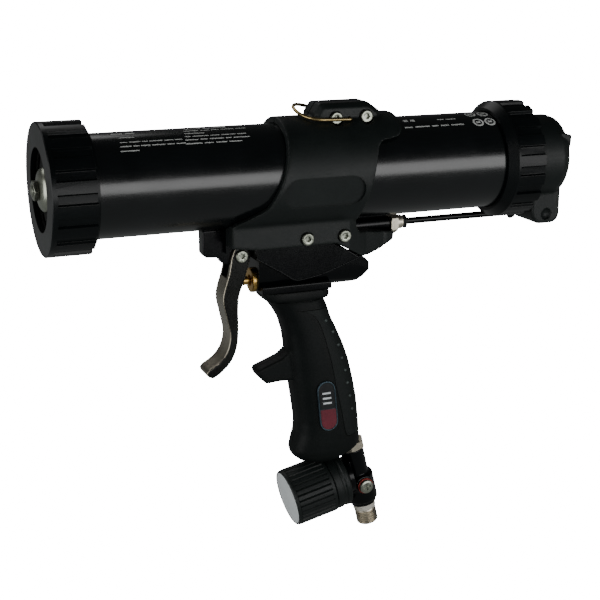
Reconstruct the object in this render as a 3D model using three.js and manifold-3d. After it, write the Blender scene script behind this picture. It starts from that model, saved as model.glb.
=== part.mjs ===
// A pneumatic caulking gun: barrel, two screwed ring nuts, piston, saddle, trigger valve, pistol grip
// and pressure regulator, each physical piece as its own closed mesh.
//
// Frame: X runs along the barrel towards the rear, Z is up, and -Y is the side that shows the badge.
// The assembly is drawn with X = 0 at the face of the front ring nut, and then moved so that the
// origin is the centre of the rear cap's back face. All sizes are in millimetres.
import * as THREE from "three";
import { mergeVertices } from "three/addons/utils/BufferGeometryUtils.js";
import Module from "manifold-3d";

const wasm = await Module();
wasm.setup();

// ---- Driving dimensions ----
const GAP = 0.3; // between pieces that touch on the real gun
const RUN = 0.35; // radial clearance of turning and sliding fits

const BARREL_R = 28;
const DRAWN_R = 28; // the barrel radius that the side outlines are drawn for
const GROWN = BARREL_R - DRAWN_R; // what hangs under the barrel, or sits on it, moves by this much
const BARREL_WALL = 2;
const BARREL_FRONT = 4.6;
const BARREL_LENGTH = 271.7;

const RING_RIBS = 18;
const RIB_DEPTH = 1.7;
const RIB_GROOVE_SHARE = 0.47; // part of a rib's pitch taken by the groove beside it
const FRONT_RING_R = BARREL_R + 7.4;
const FRONT_RING_WIDTH = 25.4;
const FRONT_RING_OPENING_R = BARREL_R - 5.7;
const FRONT_RIM = 2.9;
const REAR_RING_R = BARREL_R + 6;
const REAR_RING_WIDTH = 23;
const REAR_COLLAR = 5;
const SEAL_THICKNESS = 1.1;

const CAP_R = BARREL_R - 3.5;
const CAP_WALL = 3.5;
const CAP_FLANGE = 3.9;
const CAP_REACH = 24.2; // from the rear ring's back to the cap's back face
const CAP_EDGE = 3;
const PORT_DROP = BARREL_R + 11.4; // lowest face of the port block, below the barrel's axis
const PORT_SIDE = 13; // half the block's width

const TUBE_R = 2;
const TUBE_Y = 9;
const TUBE_Z = low(-35.4);

const PISTON_LENGTH = 17;
const PISTON_HUB_R = 12;
const ROD_R = 3;

const SADDLE_WALL = 3.4;
const SADDLE_HALF_WIDTH = 20;
const LUG_HALF_WIDTH = 10.5;
const LUG_TOP = high(38.6);
const LUG_X = 151;
const LUG_LENGTH = 40;
const BOLT_R = 2;
const BOLT_HEAD_R = 3.5;
const BOLT_HEAD_PROUD = 1.8;
const NUT_FLATS = 7;
const NUT_THICKNESS = 3;

const BAIL_WIRE_R = 1;
const BAIL_HALF_WIDTH = 14;
const BAIL_CLEARANCE = 0.459; // under the wire, over the saddle beside the lug
const BAIL_REACH = 28;
const BAIL_RISE = [0.03, 0.3]; // slope of the wire's near leg and of its far leg

const CORE_HALF_WIDTH = 8;
const HOUSING_HALF_WIDTH = 9.5;
const CHEEK_HALF_WIDTH = 14;
const HOUSING_FRONT = 117.8;
const HOUSING_REAR = 184.5;
const VALVE_Z = low(-59.4);
const VALVE_BORE_R = 5;
const VALVE_FLOOR = 1; // wall under the valve's bore
const STEM_R = 1.5;

const PIVOT = [108, low(-43.2)];
const PIVOT_PIN_R = 2;
const TRIGGER_HALF_WIDTH = 7.7;
const LUG_PLATE_HALF = 4.4;

const BADGE_LENGTH = 30.5;
const BADGE_WIDTH = 11;
const STRIP_THICKNESS = 2;
const PIPE_R = 4;

const RAKE = THREE.MathUtils.degToRad(13);
const REGULATOR = [183, low(-186)]; // where the knob's axis meets the inlet's axis
const KNOB_R = 17.3;
const KNOB_LENGTH = 25.6;
const KNOB_RIBS = 32;
const BONNET_R = 16.8;
const BONNET_BACK = -20.4; // its flange's end, along the knob's axis
const SPIGOT_R = 5;
const LOCK_NUT_FLATS = 15;
const NIPPLE_R = 6.58; // G 1/4 male thread
const NIPPLE_BORE_R = 3.5;

// ---- Places worked out from the driving dimensions ----
const BARREL_REAR = BARREL_FRONT + BARREL_LENGTH;
const CAP_FRONT = BARREL_REAR + SEAL_THICKNESS + 2 * GAP;
const REAR_RING_BACK = CAP_FRONT + CAP_FLANGE + 3.2;
const REAR_RING_FRONT = REAR_RING_BACK - REAR_RING_WIDTH;
const CAP_BACK = REAR_RING_BACK + CAP_REACH;
const SADDLE_R = BARREL_R + GAP + SADDLE_WALL;
const PORT_FRONT = REAR_RING_BACK + 4.5;
const PORT_BACK = CAP_BACK - 0.2;
const SADDLE_SIDE = Math.sqrt(SADDLE_R ** 2 - BAIL_HALF_WIDTH ** 2); // its height beside the lug
const BAIL_PIVOT = [171, SADDLE_SIDE + BAIL_WIRE_R + BAIL_CLEARANCE];
const BOSS_R = 4.6;
const BOSS_END = 204.5;
const HOUSING_BOTTOM = VALVE_Z - VALVE_BORE_R - VALVE_FLOOR;
const KNOB_REACH = KNOB_LENGTH + 0.4 - BONNET_BACK; // from the inlet's axis to the knob's face

// ---- Helpers ----
function low(z) {
  return z - GROWN;
}

function high(z) {
  return z + GROWN;
}

const lowered = (points) => points.map(([x, z]) => [x, low(z)]);
const raised = (points) => points.map(([x, z]) => [x, high(z)]);
const scaled = (points) => points.map(([x, z]) => [x, (z * BARREL_R) / DRAWN_R]);

const ROUND = 20;
const SMALL = 10;
const FINE = 32;
const BIG = 400;

const FLAT = new THREE.Matrix4().makeBasis(
  new THREE.Vector3(0, 1, 0),
  new THREE.Vector3(0, 0, 1),
  new THREE.Vector3(1, 0, 0),
);

function solid(geometry) {
  const bare = geometry.clone();
  bare.deleteAttribute("normal");
  bare.deleteAttribute("uv");
  const merged = mergeVertices(bare, 1e-4);
  return new wasm.Manifold(
    new wasm.Mesh({
      numProp: 3,
      vertProperties: merged.attributes.position.array,
      triVerts: new Uint32Array(merged.index.array),
    }),
  );
}

function geometryOf(body) {
  const mesh = body.getMesh();
  const geometry = new THREE.BufferGeometry();
  geometry.setAttribute("position", new THREE.BufferAttribute(mesh.vertProperties, 3));
  geometry.setIndex(new THREE.BufferAttribute(mesh.triVerts, 1));
  geometry.computeVertexNormals();
  return geometry;
}

const join = (...bodies) => bodies.reduce((whole, body) => whole.add(body));
const cut = (body, ...tools) => tools.reduce((left, tool) => left.subtract(tool), body);

// A turned piece on an axis along X. The profile lists [x, radius] and closes on itself or on the axis.
function turned(profile, y = 0, z = 0, segments = ROUND) {
  const points = profile.map(([x, r]) => new THREE.Vector2(r, x));
  if (THREE.ShapeUtils.isClockWise(points)) points.reverse();
  if (points[0].x > 0 || points.at(-1).x > 0) points.push(points[0]);
  const geometry = new THREE.LatheGeometry(points, segments);
  geometry.rotateZ(-Math.PI / 2);
  geometry.translate(0, y, z);
  return solid(geometry);
}

function rodX(x0, x1, radius, y = 0, z = 0, segments = ROUND) {
  return turned([[x0, 0], [x0, radius], [x1, radius], [x1, 0]], y, z, segments);
}

function tubeX(x0, x1, outer, inner, y = 0, z = 0, segments = ROUND) {
  return turned([[x0, inner], [x1, inner], [x1, outer], [x0, outer]], y, z, segments);
}

// A round bar between two points.
function bar(from, to, radius, segments = SMALL) {
  const a = new THREE.Vector3(...from);
  const b = new THREE.Vector3(...to);
  const geometry = new THREE.CylinderGeometry(radius, radius, a.distanceTo(b), segments);
  const turn = new THREE.Quaternion().setFromUnitVectors(
    new THREE.Vector3(0, 1, 0),
    b.clone().sub(a).normalize(),
  );
  geometry.applyQuaternion(turn);
  geometry.translate(...a.add(b).multiplyScalar(0.5).toArray());
  return solid(geometry);
}

function block(x0, x1, y0, y1, z0, z1) {
  const geometry = new THREE.BoxGeometry(x1 - x0, y1 - y0, z1 - z0);
  geometry.translate((x0 + x1) / 2, (y0 + y1) / 2, (z0 + z1) / 2);
  return solid(geometry);
}

function outlineOf(points) {
  return points instanceof THREE.Shape
    ? points
    : new THREE.Shape(points.map(([u, v]) => new THREE.Vector2(u, v)));
}

// A side outline in X and Z, extruded between two values of Y, with rounded edges where bevel is set.
function plate(points, y0, y1, bevel = 0, steps = 2) {
  const geometry = new THREE.ExtrudeGeometry(outlineOf(points), {
    depth: y1 - y0 - 2 * bevel,
    bevelEnabled: bevel > 0,
    bevelSize: bevel,
    bevelOffset: -bevel,
    bevelThickness: bevel,
    bevelSegments: steps,
    curveSegments: 4,
  });
  geometry.translate(0, 0, bevel);
  geometry.rotateX(Math.PI / 2);
  geometry.translate(0, y1, 0);
  return solid(geometry);
}

// A cross-section in Y and Z, extruded between two values of X.
function prism(points, x0, x1) {
  const geometry = new THREE.ExtrudeGeometry(outlineOf(points), {
    depth: x1 - x0,
    bevelEnabled: false,
    curveSegments: 4,
  });
  geometry.applyMatrix4(FLAT);
  geometry.translate(x0, 0, 0);
  return solid(geometry);
}

function polygon(count, radius, start = 0) {
  return Array.from({ length: count }, (_, i) => {
    const angle = start + (i * 2 * Math.PI) / count;
    return [radius * Math.cos(angle), radius * Math.sin(angle)];
  });
}

const hexagon = (flats, start = 0) => polygon(6, flats / Math.sqrt(3), start);
const shift = (points, u, v) => points.map(([a, b]) => [a + u, b + v]);

// A ring of ribs: lands at the full radius with straight-sided grooves between them.
function ribOutline(count, radius, depth, grooveShare, wallShare = 0.15) {
  const pitch = (2 * Math.PI) / count;
  const points = [];
  for (let i = 0; i < count; i++) {
    const land = [[radius, 0], [radius, 1 - grooveShare]];
    const slope = grooveShare * wallShare;
    const groove = [[radius - depth, 1 - grooveShare + slope], [radius - depth, 1 - slope]];
    if (wallShare === 0.5) groove.pop();
    for (const [r, share] of [...land, ...groove]) {
      const angle = (i + share) * pitch;
      points.push([r * Math.cos(angle), r * Math.sin(angle)]);
    }
  }
  return points;
}

// A smooth curve through the points, as a list of points.
function curve(points, divisions) {
  const spline = new THREE.SplineCurve(points.map(([u, v]) => new THREE.Vector2(u, v)));
  return spline.getPoints(divisions).map((p) => [p.x, p.y]);
}

// A coil spring along X.
function coil(x0, x1, radius, wire, turns, y, z) {
  const steps = turns * 8;
  const points = Array.from({ length: steps + 1 }, (_, i) => {
    const angle = (i / steps) * turns * 2 * Math.PI;
    const x = x0 + wire + ((x1 - x0 - 2 * wire) * i) / steps;
    return new THREE.Vector3(x, y + radius * Math.cos(angle), z + radius * Math.sin(angle));
  });
  return wireAlong(new THREE.CatmullRomCurve3(points), wire, steps, 5);
}

function wireAlong(path, radius, steps, sides) {
  const section = new THREE.Shape(polygon(sides, radius).map(([u, v]) => new THREE.Vector2(u, v)));
  return solid(new THREE.ExtrudeGeometry(section, { extrudePath: path, steps, bevelEnabled: false }));
}

// A body through horizontal rounded sections: [z, front x, back x, half width].
function loft(sections, inset = 0) {
  const around = 16;
  const squareness = 2.7;
  const vertices = [];
  const faces = [];
  for (const [z, front, back, half] of sections) {
    for (let i = 0; i < around; i++) {
      const angle = (i * 2 * Math.PI) / around;
      const c = Math.cos(angle);
      const s = Math.sin(angle);
      const x = Math.sign(c) * Math.abs(c) ** (2 / squareness) * ((back - front) / 2 - inset);
      const y = Math.sign(s) * Math.abs(s) ** (2 / squareness) * (half - inset);
      vertices.push((front + back) / 2 + x, y, z);
    }
  }
  const row = (level, i) => level * around + (i % around);
  for (let level = 0; level < sections.length - 1; level++) {
    for (let i = 0; i < around; i++) {
      faces.push(row(level, i), row(level + 1, i), row(level + 1, i + 1));
      faces.push(row(level, i), row(level + 1, i + 1), row(level, i + 1));
    }
  }
  const last = sections.length - 1;
  for (let i = 1; i < around - 1; i++) {
    faces.push(row(0, 0), row(0, i), row(0, i + 1));
    faces.push(row(last, 0), row(last, i + 1), row(last, i));
  }
  const geometry = new THREE.BufferGeometry();
  geometry.setAttribute("position", new THREE.Float32BufferAttribute(vertices, 3));
  geometry.setIndex(faces);
  return solid(geometry);
}

const nearHalf = () => block(-BIG, BIG, -BIG, -GAP / 2, -BIG, BIG);
const farHalf = () => block(-BIG, BIG, GAP / 2, BIG, -BIG, BIG);

// ---- Materials ----
const FINISHES = {
  glossBlack: [0x15181b, 0.22, 0.1],
  anodisedBlack: [0x17191c, 0.28, 0.55],
  mattBlack: [0x1e2321, 0.62, 0],
  rubberBlack: [0x121313, 0.85, 0],
  nickel: [0x8a8073, 0.32, 0.9],
  zincSteel: [0xb8bcae, 0.3, 0.9],
  brass: [0xc9a35a, 0.28, 1],
  springSteel: [0x9a9a96, 0.35, 1],
  nylonWhite: [0xe2ddd2, 0.6, 0],
  labelGrey: [0xaeb5b8, 0.45, 0.2],
  sealRed: [0xb03a30, 0.55, 0],
  aluminium: [0xb5b5b3, 0.35, 0.9],
};

const assembly = new THREE.Group();

function addPiece(name, finish, body, group = assembly) {
  const [color, roughness, metalness] = FINISHES[finish];
  const material = new THREE.MeshStandardMaterial({ color, roughness, metalness, name: finish });
  const mesh = new THREE.Mesh(geometryOf(body), material);
  mesh.name = name;
  group.add(mesh);
  return mesh;
}

// ---- Barrel and its two ring nuts ----
function barrelTube() {
  return tubeX(BARREL_FRONT, BARREL_REAR, BARREL_R, BARREL_R - BARREL_WALL, 0, 0, FINE);
}

function frontRingNut() {
  const lip = 1.9;
  const ribs = prism(
    ribOutline(RING_RIBS, FRONT_RING_R, RIB_DEPTH, RIB_GROOVE_SHARE),
    FRONT_RIM - 0.5,
    FRONT_RING_WIDTH - lip,
  );
  const core = turned(
    [
      [0, FRONT_RING_OPENING_R],
      [FRONT_RING_WIDTH, FRONT_RING_OPENING_R],
      [FRONT_RING_WIDTH, FRONT_RING_R - 2 * RIB_DEPTH],
      [FRONT_RIM, FRONT_RING_R - 2 * RIB_DEPTH],
      [FRONT_RIM, FRONT_RING_R - 0.4],
      [FRONT_RIM - 0.4, FRONT_RING_R],
      [0.8, FRONT_RING_R],
      [0, FRONT_RING_R - 0.8],
    ],
    0,
    0,
    FINE,
  );
  const opening = rodX(-1, FRONT_RIM + 1, FRONT_RING_OPENING_R, 0, 0, FINE);
  const bore = rodX(FRONT_RIM, BIG, BARREL_R + RUN, 0, 0, FINE);
  return cut(join(core, ribs), opening, bore);
}

function frontSeal() {
  const x = FRONT_RIM + GAP;
  return tubeX(x, x + SEAL_THICKNESS, BARREL_R - GAP, FRONT_RING_OPENING_R + GAP);
}

function rearRingNut() {
  const front = REAR_RING_FRONT;
  const ribs = prism(
    ribOutline(RING_RIBS, REAR_RING_R, RIB_DEPTH, RIB_GROOVE_SHARE),
    front + REAR_COLLAR,
    REAR_RING_BACK,
  );
  const core = turned(
    [
      [front, BARREL_R + RUN],
      [REAR_RING_BACK, BARREL_R + RUN],
      [REAR_RING_BACK, REAR_RING_R - 2 * RIB_DEPTH],
      [front + REAR_COLLAR + 1, REAR_RING_R - 2 * RIB_DEPTH],
      [front + REAR_COLLAR + 1, REAR_RING_R],
      [front + REAR_COLLAR - 0.5, REAR_RING_R],
      [front, REAR_RING_R - 4.2],
    ],
    0,
    0,
    FINE,
  );
  const flangeSeat = REAR_RING_BACK - (REAR_RING_BACK - CAP_FRONT - CAP_FLANGE - GAP);
  const flange = tubeX(flangeSeat, REAR_RING_BACK, REAR_RING_R - 3, CAP_R + RUN);
  const bore = rodX(front - 1, flangeSeat, BARREL_R + RUN, 0, 0, FINE);
  const mouth = rodX(flangeSeat - 1, BIG, CAP_R + RUN);
  return cut(join(core, cut(ribs, bore, mouth), flange), bore, mouth);
}

function rearSeal() {
  const x = BARREL_REAR + GAP;
  return tubeX(x, x + SEAL_THICKNESS, BARREL_R - GAP, BARREL_R - BARREL_WALL + GAP);
}

function rearCap() {
  const body = turned([
    [CAP_BACK, 0],
    [CAP_BACK, CAP_R - CAP_EDGE],
    [CAP_BACK - CAP_EDGE * 0.3, CAP_R - CAP_EDGE * 0.3],
    [CAP_BACK - CAP_EDGE, CAP_R],
    [CAP_FRONT + CAP_FLANGE, CAP_R],
    [CAP_FRONT + CAP_FLANGE, BARREL_R - GAP],
    [CAP_FRONT, BARREL_R - GAP],
    [CAP_FRONT, 0],
  ]);
  const round = 4;
  const drop = -PORT_DROP;
  const portSide = [
    [PORT_FRONT, -CAP_R + 8],
    [PORT_FRONT, drop + round * 1.6],
    [PORT_FRONT + round, drop],
    [PORT_BACK - round, drop],
    [PORT_BACK - round * 0.3, drop + round * 0.3],
    [PORT_BACK, drop + round],
    [CAP_BACK - CAP_EDGE, -CAP_R + 8],
  ];
  const port = plate(portSide, -PORT_SIDE, PORT_SIDE, 2);
  const tab = plate(
    [[CAP_BACK - 6, 6.5], [CAP_BACK + 0.2, 7.5], [CAP_BACK + 0.7, 14.5], [CAP_BACK - 6, 16]],
    -20,
    -16.5,
  );
  const cavity = rodX(CAP_FRONT - 1, CAP_BACK - CAP_WALL, CAP_R - CAP_WALL);
  const socket = rodX(PORT_FRONT - 1, PORT_FRONT + 9, TUBE_R + GAP, TUBE_Y, TUBE_Z, SMALL);
  const riser = bar([PORT_FRONT + 7, TUBE_Y, TUBE_Z], [PORT_FRONT + 7, 4, -CAP_R + 6], 1.6);
  return cut(join(body, port, tab), cavity, socket, riser);
}

// ---- Piston, at the front end of its stroke ----
const PISTON_FRONT = BARREL_FRONT + 0.4;
const PISTON_BACK = PISTON_FRONT + PISTON_LENGTH;
const GROOVE = [PISTON_FRONT + 6, PISTON_FRONT + 10];
const PISTON_BORE_R = BARREL_R - BARREL_WALL;

function pistonBody() {
  const hub = PISTON_FRONT - 1;
  return turned([
    [hub, ROD_R + GAP],
    [PISTON_BACK, ROD_R + GAP],
    [PISTON_BACK, PISTON_BORE_R - 0.5],
    [GROOVE[1], PISTON_BORE_R - 0.5],
    [GROOVE[1], PISTON_BORE_R - 4.5],
    [GROOVE[0], PISTON_BORE_R - 4.5],
    [GROOVE[0], PISTON_BORE_R - 0.5],
    [PISTON_FRONT, PISTON_BORE_R - 0.5],
    [PISTON_FRONT, PISTON_HUB_R],
    [hub, PISTON_HUB_R],
  ]);
}

function pistonSeal() {
  return tubeX(GROOVE[0] + GAP, GROOVE[1] - GAP, PISTON_BORE_R - 0.2, PISTON_BORE_R - 4.5 + GAP);
}

function domeWasher() {
  const seat = PISTON_FRONT - 1 - GAP;
  const bore = ROD_R + GAP;
  return turned([
    [seat, bore],
    [seat, PISTON_HUB_R - 0.6],
    [seat - 0.9, PISTON_HUB_R],
    [seat - 2.2, PISTON_HUB_R - 1.6],
    [seat - 3.6, PISTON_HUB_R - 4.4],
    [seat - 4.3, bore + 2.4],
    [seat - 4.3, bore],
  ]);
}

function pistonNut() {
  const seat = PISTON_FRONT - 1 - GAP - 4.3 - GAP;
  return cut(prism(hexagon(10), seat - 2.4, seat), rodX(seat - 3, seat + 1, ROD_R + GAP, 0, 0, SMALL));
}

function pistonBolt() {
  const headFront = PISTON_BACK + 1.7 + 2 * GAP;
  const tip = -4.3;
  const shank = rodX(tip, headFront + 1, ROD_R, 0, 0, SMALL);
  return join(shank, prism(hexagon(10), headFront, headFront + 4));
}

function backPlate() {
  return tubeX(PISTON_BACK + GAP, PISTON_BACK + GAP + 1.7, 18, ROD_R + GAP);
}

// ---- Saddle: two moulded halves clamped round the barrel, with the hanging lug on top ----
const UPPER_BOLTS = raised([[162.9, 30.5], [181, 30.7]]);
const LOWER_BOLTS = lowered([[142.2, -33.8], [164.5, -33.8]]);

const WRAP_OUTLINE = scaled([
  [130.5, 36],
  [130, 24],
  ...curve([[128.8, 17], [126.2, 8], [122.5, -3], [118.6, -11], [112, -16.6], [101, -22.6]], 10),
  [98.6, -27],
  [98.6, -32],
  [174.6, -32],
  ...curve([[173.6, -18], [175.8, -8], [178.4, 4], [181.6, 15.4]], 5),
  [184.5, 18.4],
  [194.5, 20.3],
  [197.6, 22.8],
  [200, 27],
  [200.5, 36],
]);

const SKIRT_OUTLINE = lowered([
  [98.6, -24],
  [98.6, -36],
  [113, -38.2],
  [160, -38.2],
  [172, -44.8],
  [183, -50.6],
  [196, -48.2],
  [BOSS_END, -44.6],
  [BOSS_END, -39],
  [178, -35],
  [174.6, -30],
  [173.6, -18],
  [112, -17],
]);

const LUG_OUTLINE = [
  [LUG_X, high(24)],
  [LUG_X - 0.5, LUG_TOP - 4.6],
  [LUG_X + 3.5, LUG_TOP],
  [LUG_X + LUG_LENGTH - 8, LUG_TOP],
  [LUG_X + LUG_LENGTH - 1, LUG_TOP - 4.6],
  [LUG_X + LUG_LENGTH, high(24)],
];
const LUG_BEVEL = 3;

function saddleBlank() {
  const bore = rodX(-BIG, BIG, BARREL_R + GAP, 0, 0, FINE);
  const wrap = plate(WRAP_OUTLINE, -BIG, BIG).intersect(rodX(90, 210, SADDLE_R, 0, 0, FINE));
  const plan = [
    [90, -SADDLE_HALF_WIDTH],
    [168, -SADDLE_HALF_WIDTH],
    [183, -5],
    [BOSS_END, 3.6],
    [BOSS_END, TUBE_Y + BOSS_R],
    [170, SADDLE_HALF_WIDTH],
    [90, SADDLE_HALF_WIDTH],
  ];
  const planShape = new THREE.ExtrudeGeometry(outlineOf(plan), { depth: 60, bevelEnabled: false });
  planShape.translate(0, 0, low(-70));
  const skirt = plate(SKIRT_OUTLINE, -BIG, BIG).intersect(solid(planShape));
  const lug = plate(LUG_OUTLINE, -LUG_HALF_WIDTH, LUG_HALF_WIDTH, LUG_BEVEL, 1);
  const [px, pz] = BAIL_PIVOT;
  const pivot = bar([px, -BIG, pz], [px, BIG, pz], BAIL_WIRE_R + GAP);
  const holes = [...UPPER_BOLTS, ...LOWER_BOLTS].map(([x, z]) =>
    bar([x, -BIG, z], [x, BIG, z], BOLT_R + GAP),
  );
  return cut(join(wrap, skirt, lug), bore, coreSpace(), valveSpace(), pivot, ...holes);
}

// The space that the valve casting takes between the two halves.
function coreSpace() {
  const wide = CORE_HALF_WIDTH + GAP;
  return block(CORE_FRONT - 1, CORE_REAR + GAP, -wide, wide, low(-60), low(-18));
}

function valveSpace() {
  const boss = rodX(CORE_REAR - 20, BIG, BOSS_R + GAP, TUBE_Y, TUBE_Z, 20);
  const pad = block(160 - GAP, CORE_REAR + GAP, 0, TUBE_Y + BOSS_R + GAP, low(-41.5), low(-29.7));
  const wide = HOUSING_HALF_WIDTH + GAP;
  const raised = plate(shift(HOUSING_OUTLINE, GAP, GAP), -wide, wide);
  return join(boss, pad, plate(HOUSING_OUTLINE, -wide, wide), raised);
}

// Counterbores that sink the heads and nuts of the cross bolts a little.
function boltSeats(bolts, face) {
  const depth = BOLT_HEAD_PROUD * 0.8;
  return bolts.flatMap(([x, z]) => [
    bar([x, -face - 9, z], [x, -face + depth, z], BOLT_HEAD_R + GAP, 20),
    bar([x, face - depth, z], [x, face + 9, z], BOLT_HEAD_R + 1 + GAP, 20),
  ]);
}

function saddleHalf(side) {
  const seats = [
    ...boltSeats(UPPER_BOLTS, LUG_HALF_WIDTH),
    ...boltSeats(LOWER_BOLTS, SADDLE_HALF_WIDTH),
  ];
  return cut(saddleBlank(), ...seats).intersect(side);
}

function crossBolt([x, z], face) {
  const seat = -face + BOLT_HEAD_PROUD * 0.8 - GAP;
  const shank = bar([x, seat - 1, z], [x, face + 1, z], BOLT_R);
  const head = bar([x, seat - 3, z], [x, seat, z], BOLT_HEAD_R, 20);
  const recess = plate(shift(hexagon(3), x, z), seat - 4, seat - 1.4);
  return cut(join(shank, head), recess);
}

function crossNut([x, z], face) {
  const seat = face - BOLT_HEAD_PROUD * 0.8 + GAP;
  const body = plate(shift(hexagon(NUT_FLATS), x, z), seat, seat + NUT_THICKNESS);
  return cut(body, bar([x, seat - 1, z], [x, seat + 9, z], BOLT_R + GAP));
}

function hangingBail() {
  const [px, pz] = BAIL_PIVOT;
  const wide = BAIL_HALF_WIDTH;
  const arc = 12;
  const inside = [[0, LUG_HALF_WIDTH - 3], [0, LUG_HALF_WIDTH - 1], [0, wide - 1.7]];
  const side = [...inside, [0.9, wide - 0.3], [3, wide], [8, wide]];
  const flat = side.map(([u, y]) => [u, y]);
  for (let i = 0; i <= 10; i++) {
    const angle = Math.PI / 2 - (i * Math.PI) / 10;
    flat.push([BAIL_REACH - arc + arc * Math.cos(angle), wide * Math.sin(angle)]);
  }
  flat.push(...side.reverse().map(([u, y]) => [u, -y]));
  const points = flat.map(([u, y]) => {
    const share = (y + wide) / (2 * wide);
    const rise = BAIL_RISE[0] + share * (BAIL_RISE[1] - BAIL_RISE[0]);
    return new THREE.Vector3(px - u, y, pz + u * rise);
  });
  return wireAlong(new THREE.CatmullRomCurve3(points, false, "centripetal"), BAIL_WIRE_R, 40, 6);
}

// ---- Valve casting: nose, trigger lug, valve chamber and outlet boss ----
const CORE_FRONT = 98.6;
const CORE_REAR = 176;

const HOUSING_OUTLINE = [
  [HOUSING_FRONT, low(-38.6)],
  [160, low(-38.6)],
  [172, low(-45.2)],
  [178, low(-49.2)],
  [182.4, low(-50.6)],
  [HOUSING_REAR, low(-53)],
  [HOUSING_REAR, low(-57.5)],
  [HOUSING_REAR - 6, HOUSING_BOTTOM + 1.6],
  [HOUSING_REAR - 9.5, HOUSING_BOTTOM],
  [HOUSING_FRONT, HOUSING_BOTTOM],
];

const CHEEK_OUTLINE = lowered([
  [114, -38.6],
  [160, -38.6],
  [172, -45.2],
  [177, -48.6],
  ...curve([[171, -51.2], [156, -56.2], [146, -58.6], [139, -59]], 5),
  [136, -58.2],
  [122, -49.2],
  [114, -44.6],
]);

const NOSE_OUTLINE = lowered([
  [CORE_FRONT + 4, -28],
  [87, -28],
  [87, -41.6],
  [88.6, -43.6],
  [96, -44],
  [98.5, -48],
  [104, -49.4],
  [109, -48.9],
  [112.6, -46.6],
  [114.2, -43.2],
  [114, -34],
]);

const CHAMBER_END = 172;

function valveHousing() {
  const wide = HOUSING_HALF_WIDTH;
  const floor = HOUSING_BOTTOM;
  const section = [
    [-wide, low(-30)],
    [-wide, floor + 7.5],
    [-wide + 1.6, floor + 3.4],
    [-wide + 4.4, floor + 0.8],
    [-wide + 7, floor],
    [wide - 7, floor],
    [wide - 4.4, floor + 0.8],
    [wide - 1.6, floor + 3.4],
    [wide, floor + 7.5],
    [wide, low(-30)],
  ];
  const body = plate(HOUSING_OUTLINE, -wide, wide).intersect(prism(section, 90, 200));
  const cheeks = plate(CHEEK_OUTLINE, -CHEEK_HALF_WIDTH, CHEEK_HALF_WIDTH, 1.2);
  const core = block(CORE_FRONT, CORE_REAR, -CORE_HALF_WIDTH, CORE_HALF_WIDTH, low(-41), low(-22));
  const pad = block(160, CORE_REAR, 0, TUBE_Y + BOSS_R, low(-41), low(-30));
  const boss = rodX(160, BOSS_END, BOSS_R, TUBE_Y, TUBE_Z, 20);
  const nose = plate(NOSE_OUTLINE, -LUG_PLATE_HALF, LUG_PLATE_HALF, 0.8);
  const barrelSpace = rodX(0, BIG, BARREL_R + GAP, 0, 0, FINE);
  const chamber = rodX(HOUSING_FRONT - 1, CHAMBER_END, VALVE_BORE_R, 0, VALVE_Z, 20);
  const outlet = rodX(168, BIG, 2.4, TUBE_Y, TUBE_Z, SMALL);
  const riser = bar([169, TUBE_Y, TUBE_Z], [169, 2.5, VALVE_Z], 1.6);
  const pin = bar([PIVOT[0], -BIG, PIVOT[1]], [PIVOT[0], BIG, PIVOT[1]], PIVOT_PIN_R + RUN);
  const holes = LOWER_BOLTS.map(([x, z]) => bar([x, -BIG, z], [x, BIG, z], BOLT_R + GAP));
  const feed = bar([PIPE_TOP[0], 0, PIPE_TOP[1] - 6], [PIPE_TOP[0], 0, VALVE_Z], PIPE_R + GAP);
  const fingerRoom = bar([PIVOT[0], -BIG, PIVOT[1]], [PIVOT[0], -LUG_PLATE_HALF, PIVOT[1]], 7, 32);
  const farRoom = bar([PIVOT[0], LUG_PLATE_HALF, PIVOT[1]], [PIVOT[0], BIG, PIVOT[1]], 7, 32);
  const whole = join(cut(join(body, cheeks, core, pad), fingerRoom, farRoom), boss, nose);
  return cut(whole, barrelSpace, chamber, outlet, riser, pin, feed, ...holes);
}

function valveGland() {
  const front = HOUSING_FRONT - 2.6;
  const bore = STEM_R + RUN;
  const shape = turned(
    [
      [front, bore],
      [HOUSING_FRONT + 9, bore],
      [HOUSING_FRONT + 9, VALVE_BORE_R - GAP],
      [HOUSING_FRONT - GAP, VALVE_BORE_R - GAP],
      [HOUSING_FRONT - GAP, 7.2],
      [front + 0.4, 7.2],
      [front, 6.6],
    ],
    0,
    VALVE_Z,
    24,
  );
  return cut(shape, rodX(front - 1, front + 2.6, 3.1, 0, VALVE_Z, SMALL));
}

const STEM_TIP = 110.6;
const POPPET = [150, 153];

function valveStem() {
  return turned(
    [
      [STEM_TIP, 0],
      [STEM_TIP, 2.2],
      [STEM_TIP + 0.4, 2.6],
      [STEM_TIP + 3, 2.6],
      [STEM_TIP + 3, STEM_R],
      [POPPET[0], STEM_R],
      [POPPET[0], 4],
      [POPPET[1], 4],
      [POPPET[1], 0],
    ],
    0,
    VALVE_Z,
    SMALL,
  );
}

function valveSeat() {
  return tubeX(POPPET[0] - 6, POPPET[0] - 2.2, VALVE_BORE_R - GAP, 2.7, 0, VALVE_Z, 20);
}

function valveSeal() {
  return tubeX(POPPET[0] - 1.9, POPPET[0] - GAP, 4, STEM_R + GAP, 0, VALVE_Z, 20);
}

function valveSpring() {
  return coil(POPPET[1] + GAP, CHAMBER_END - GAP, 3.2, 0.5, 5, 0, VALVE_Z);
}

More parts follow.
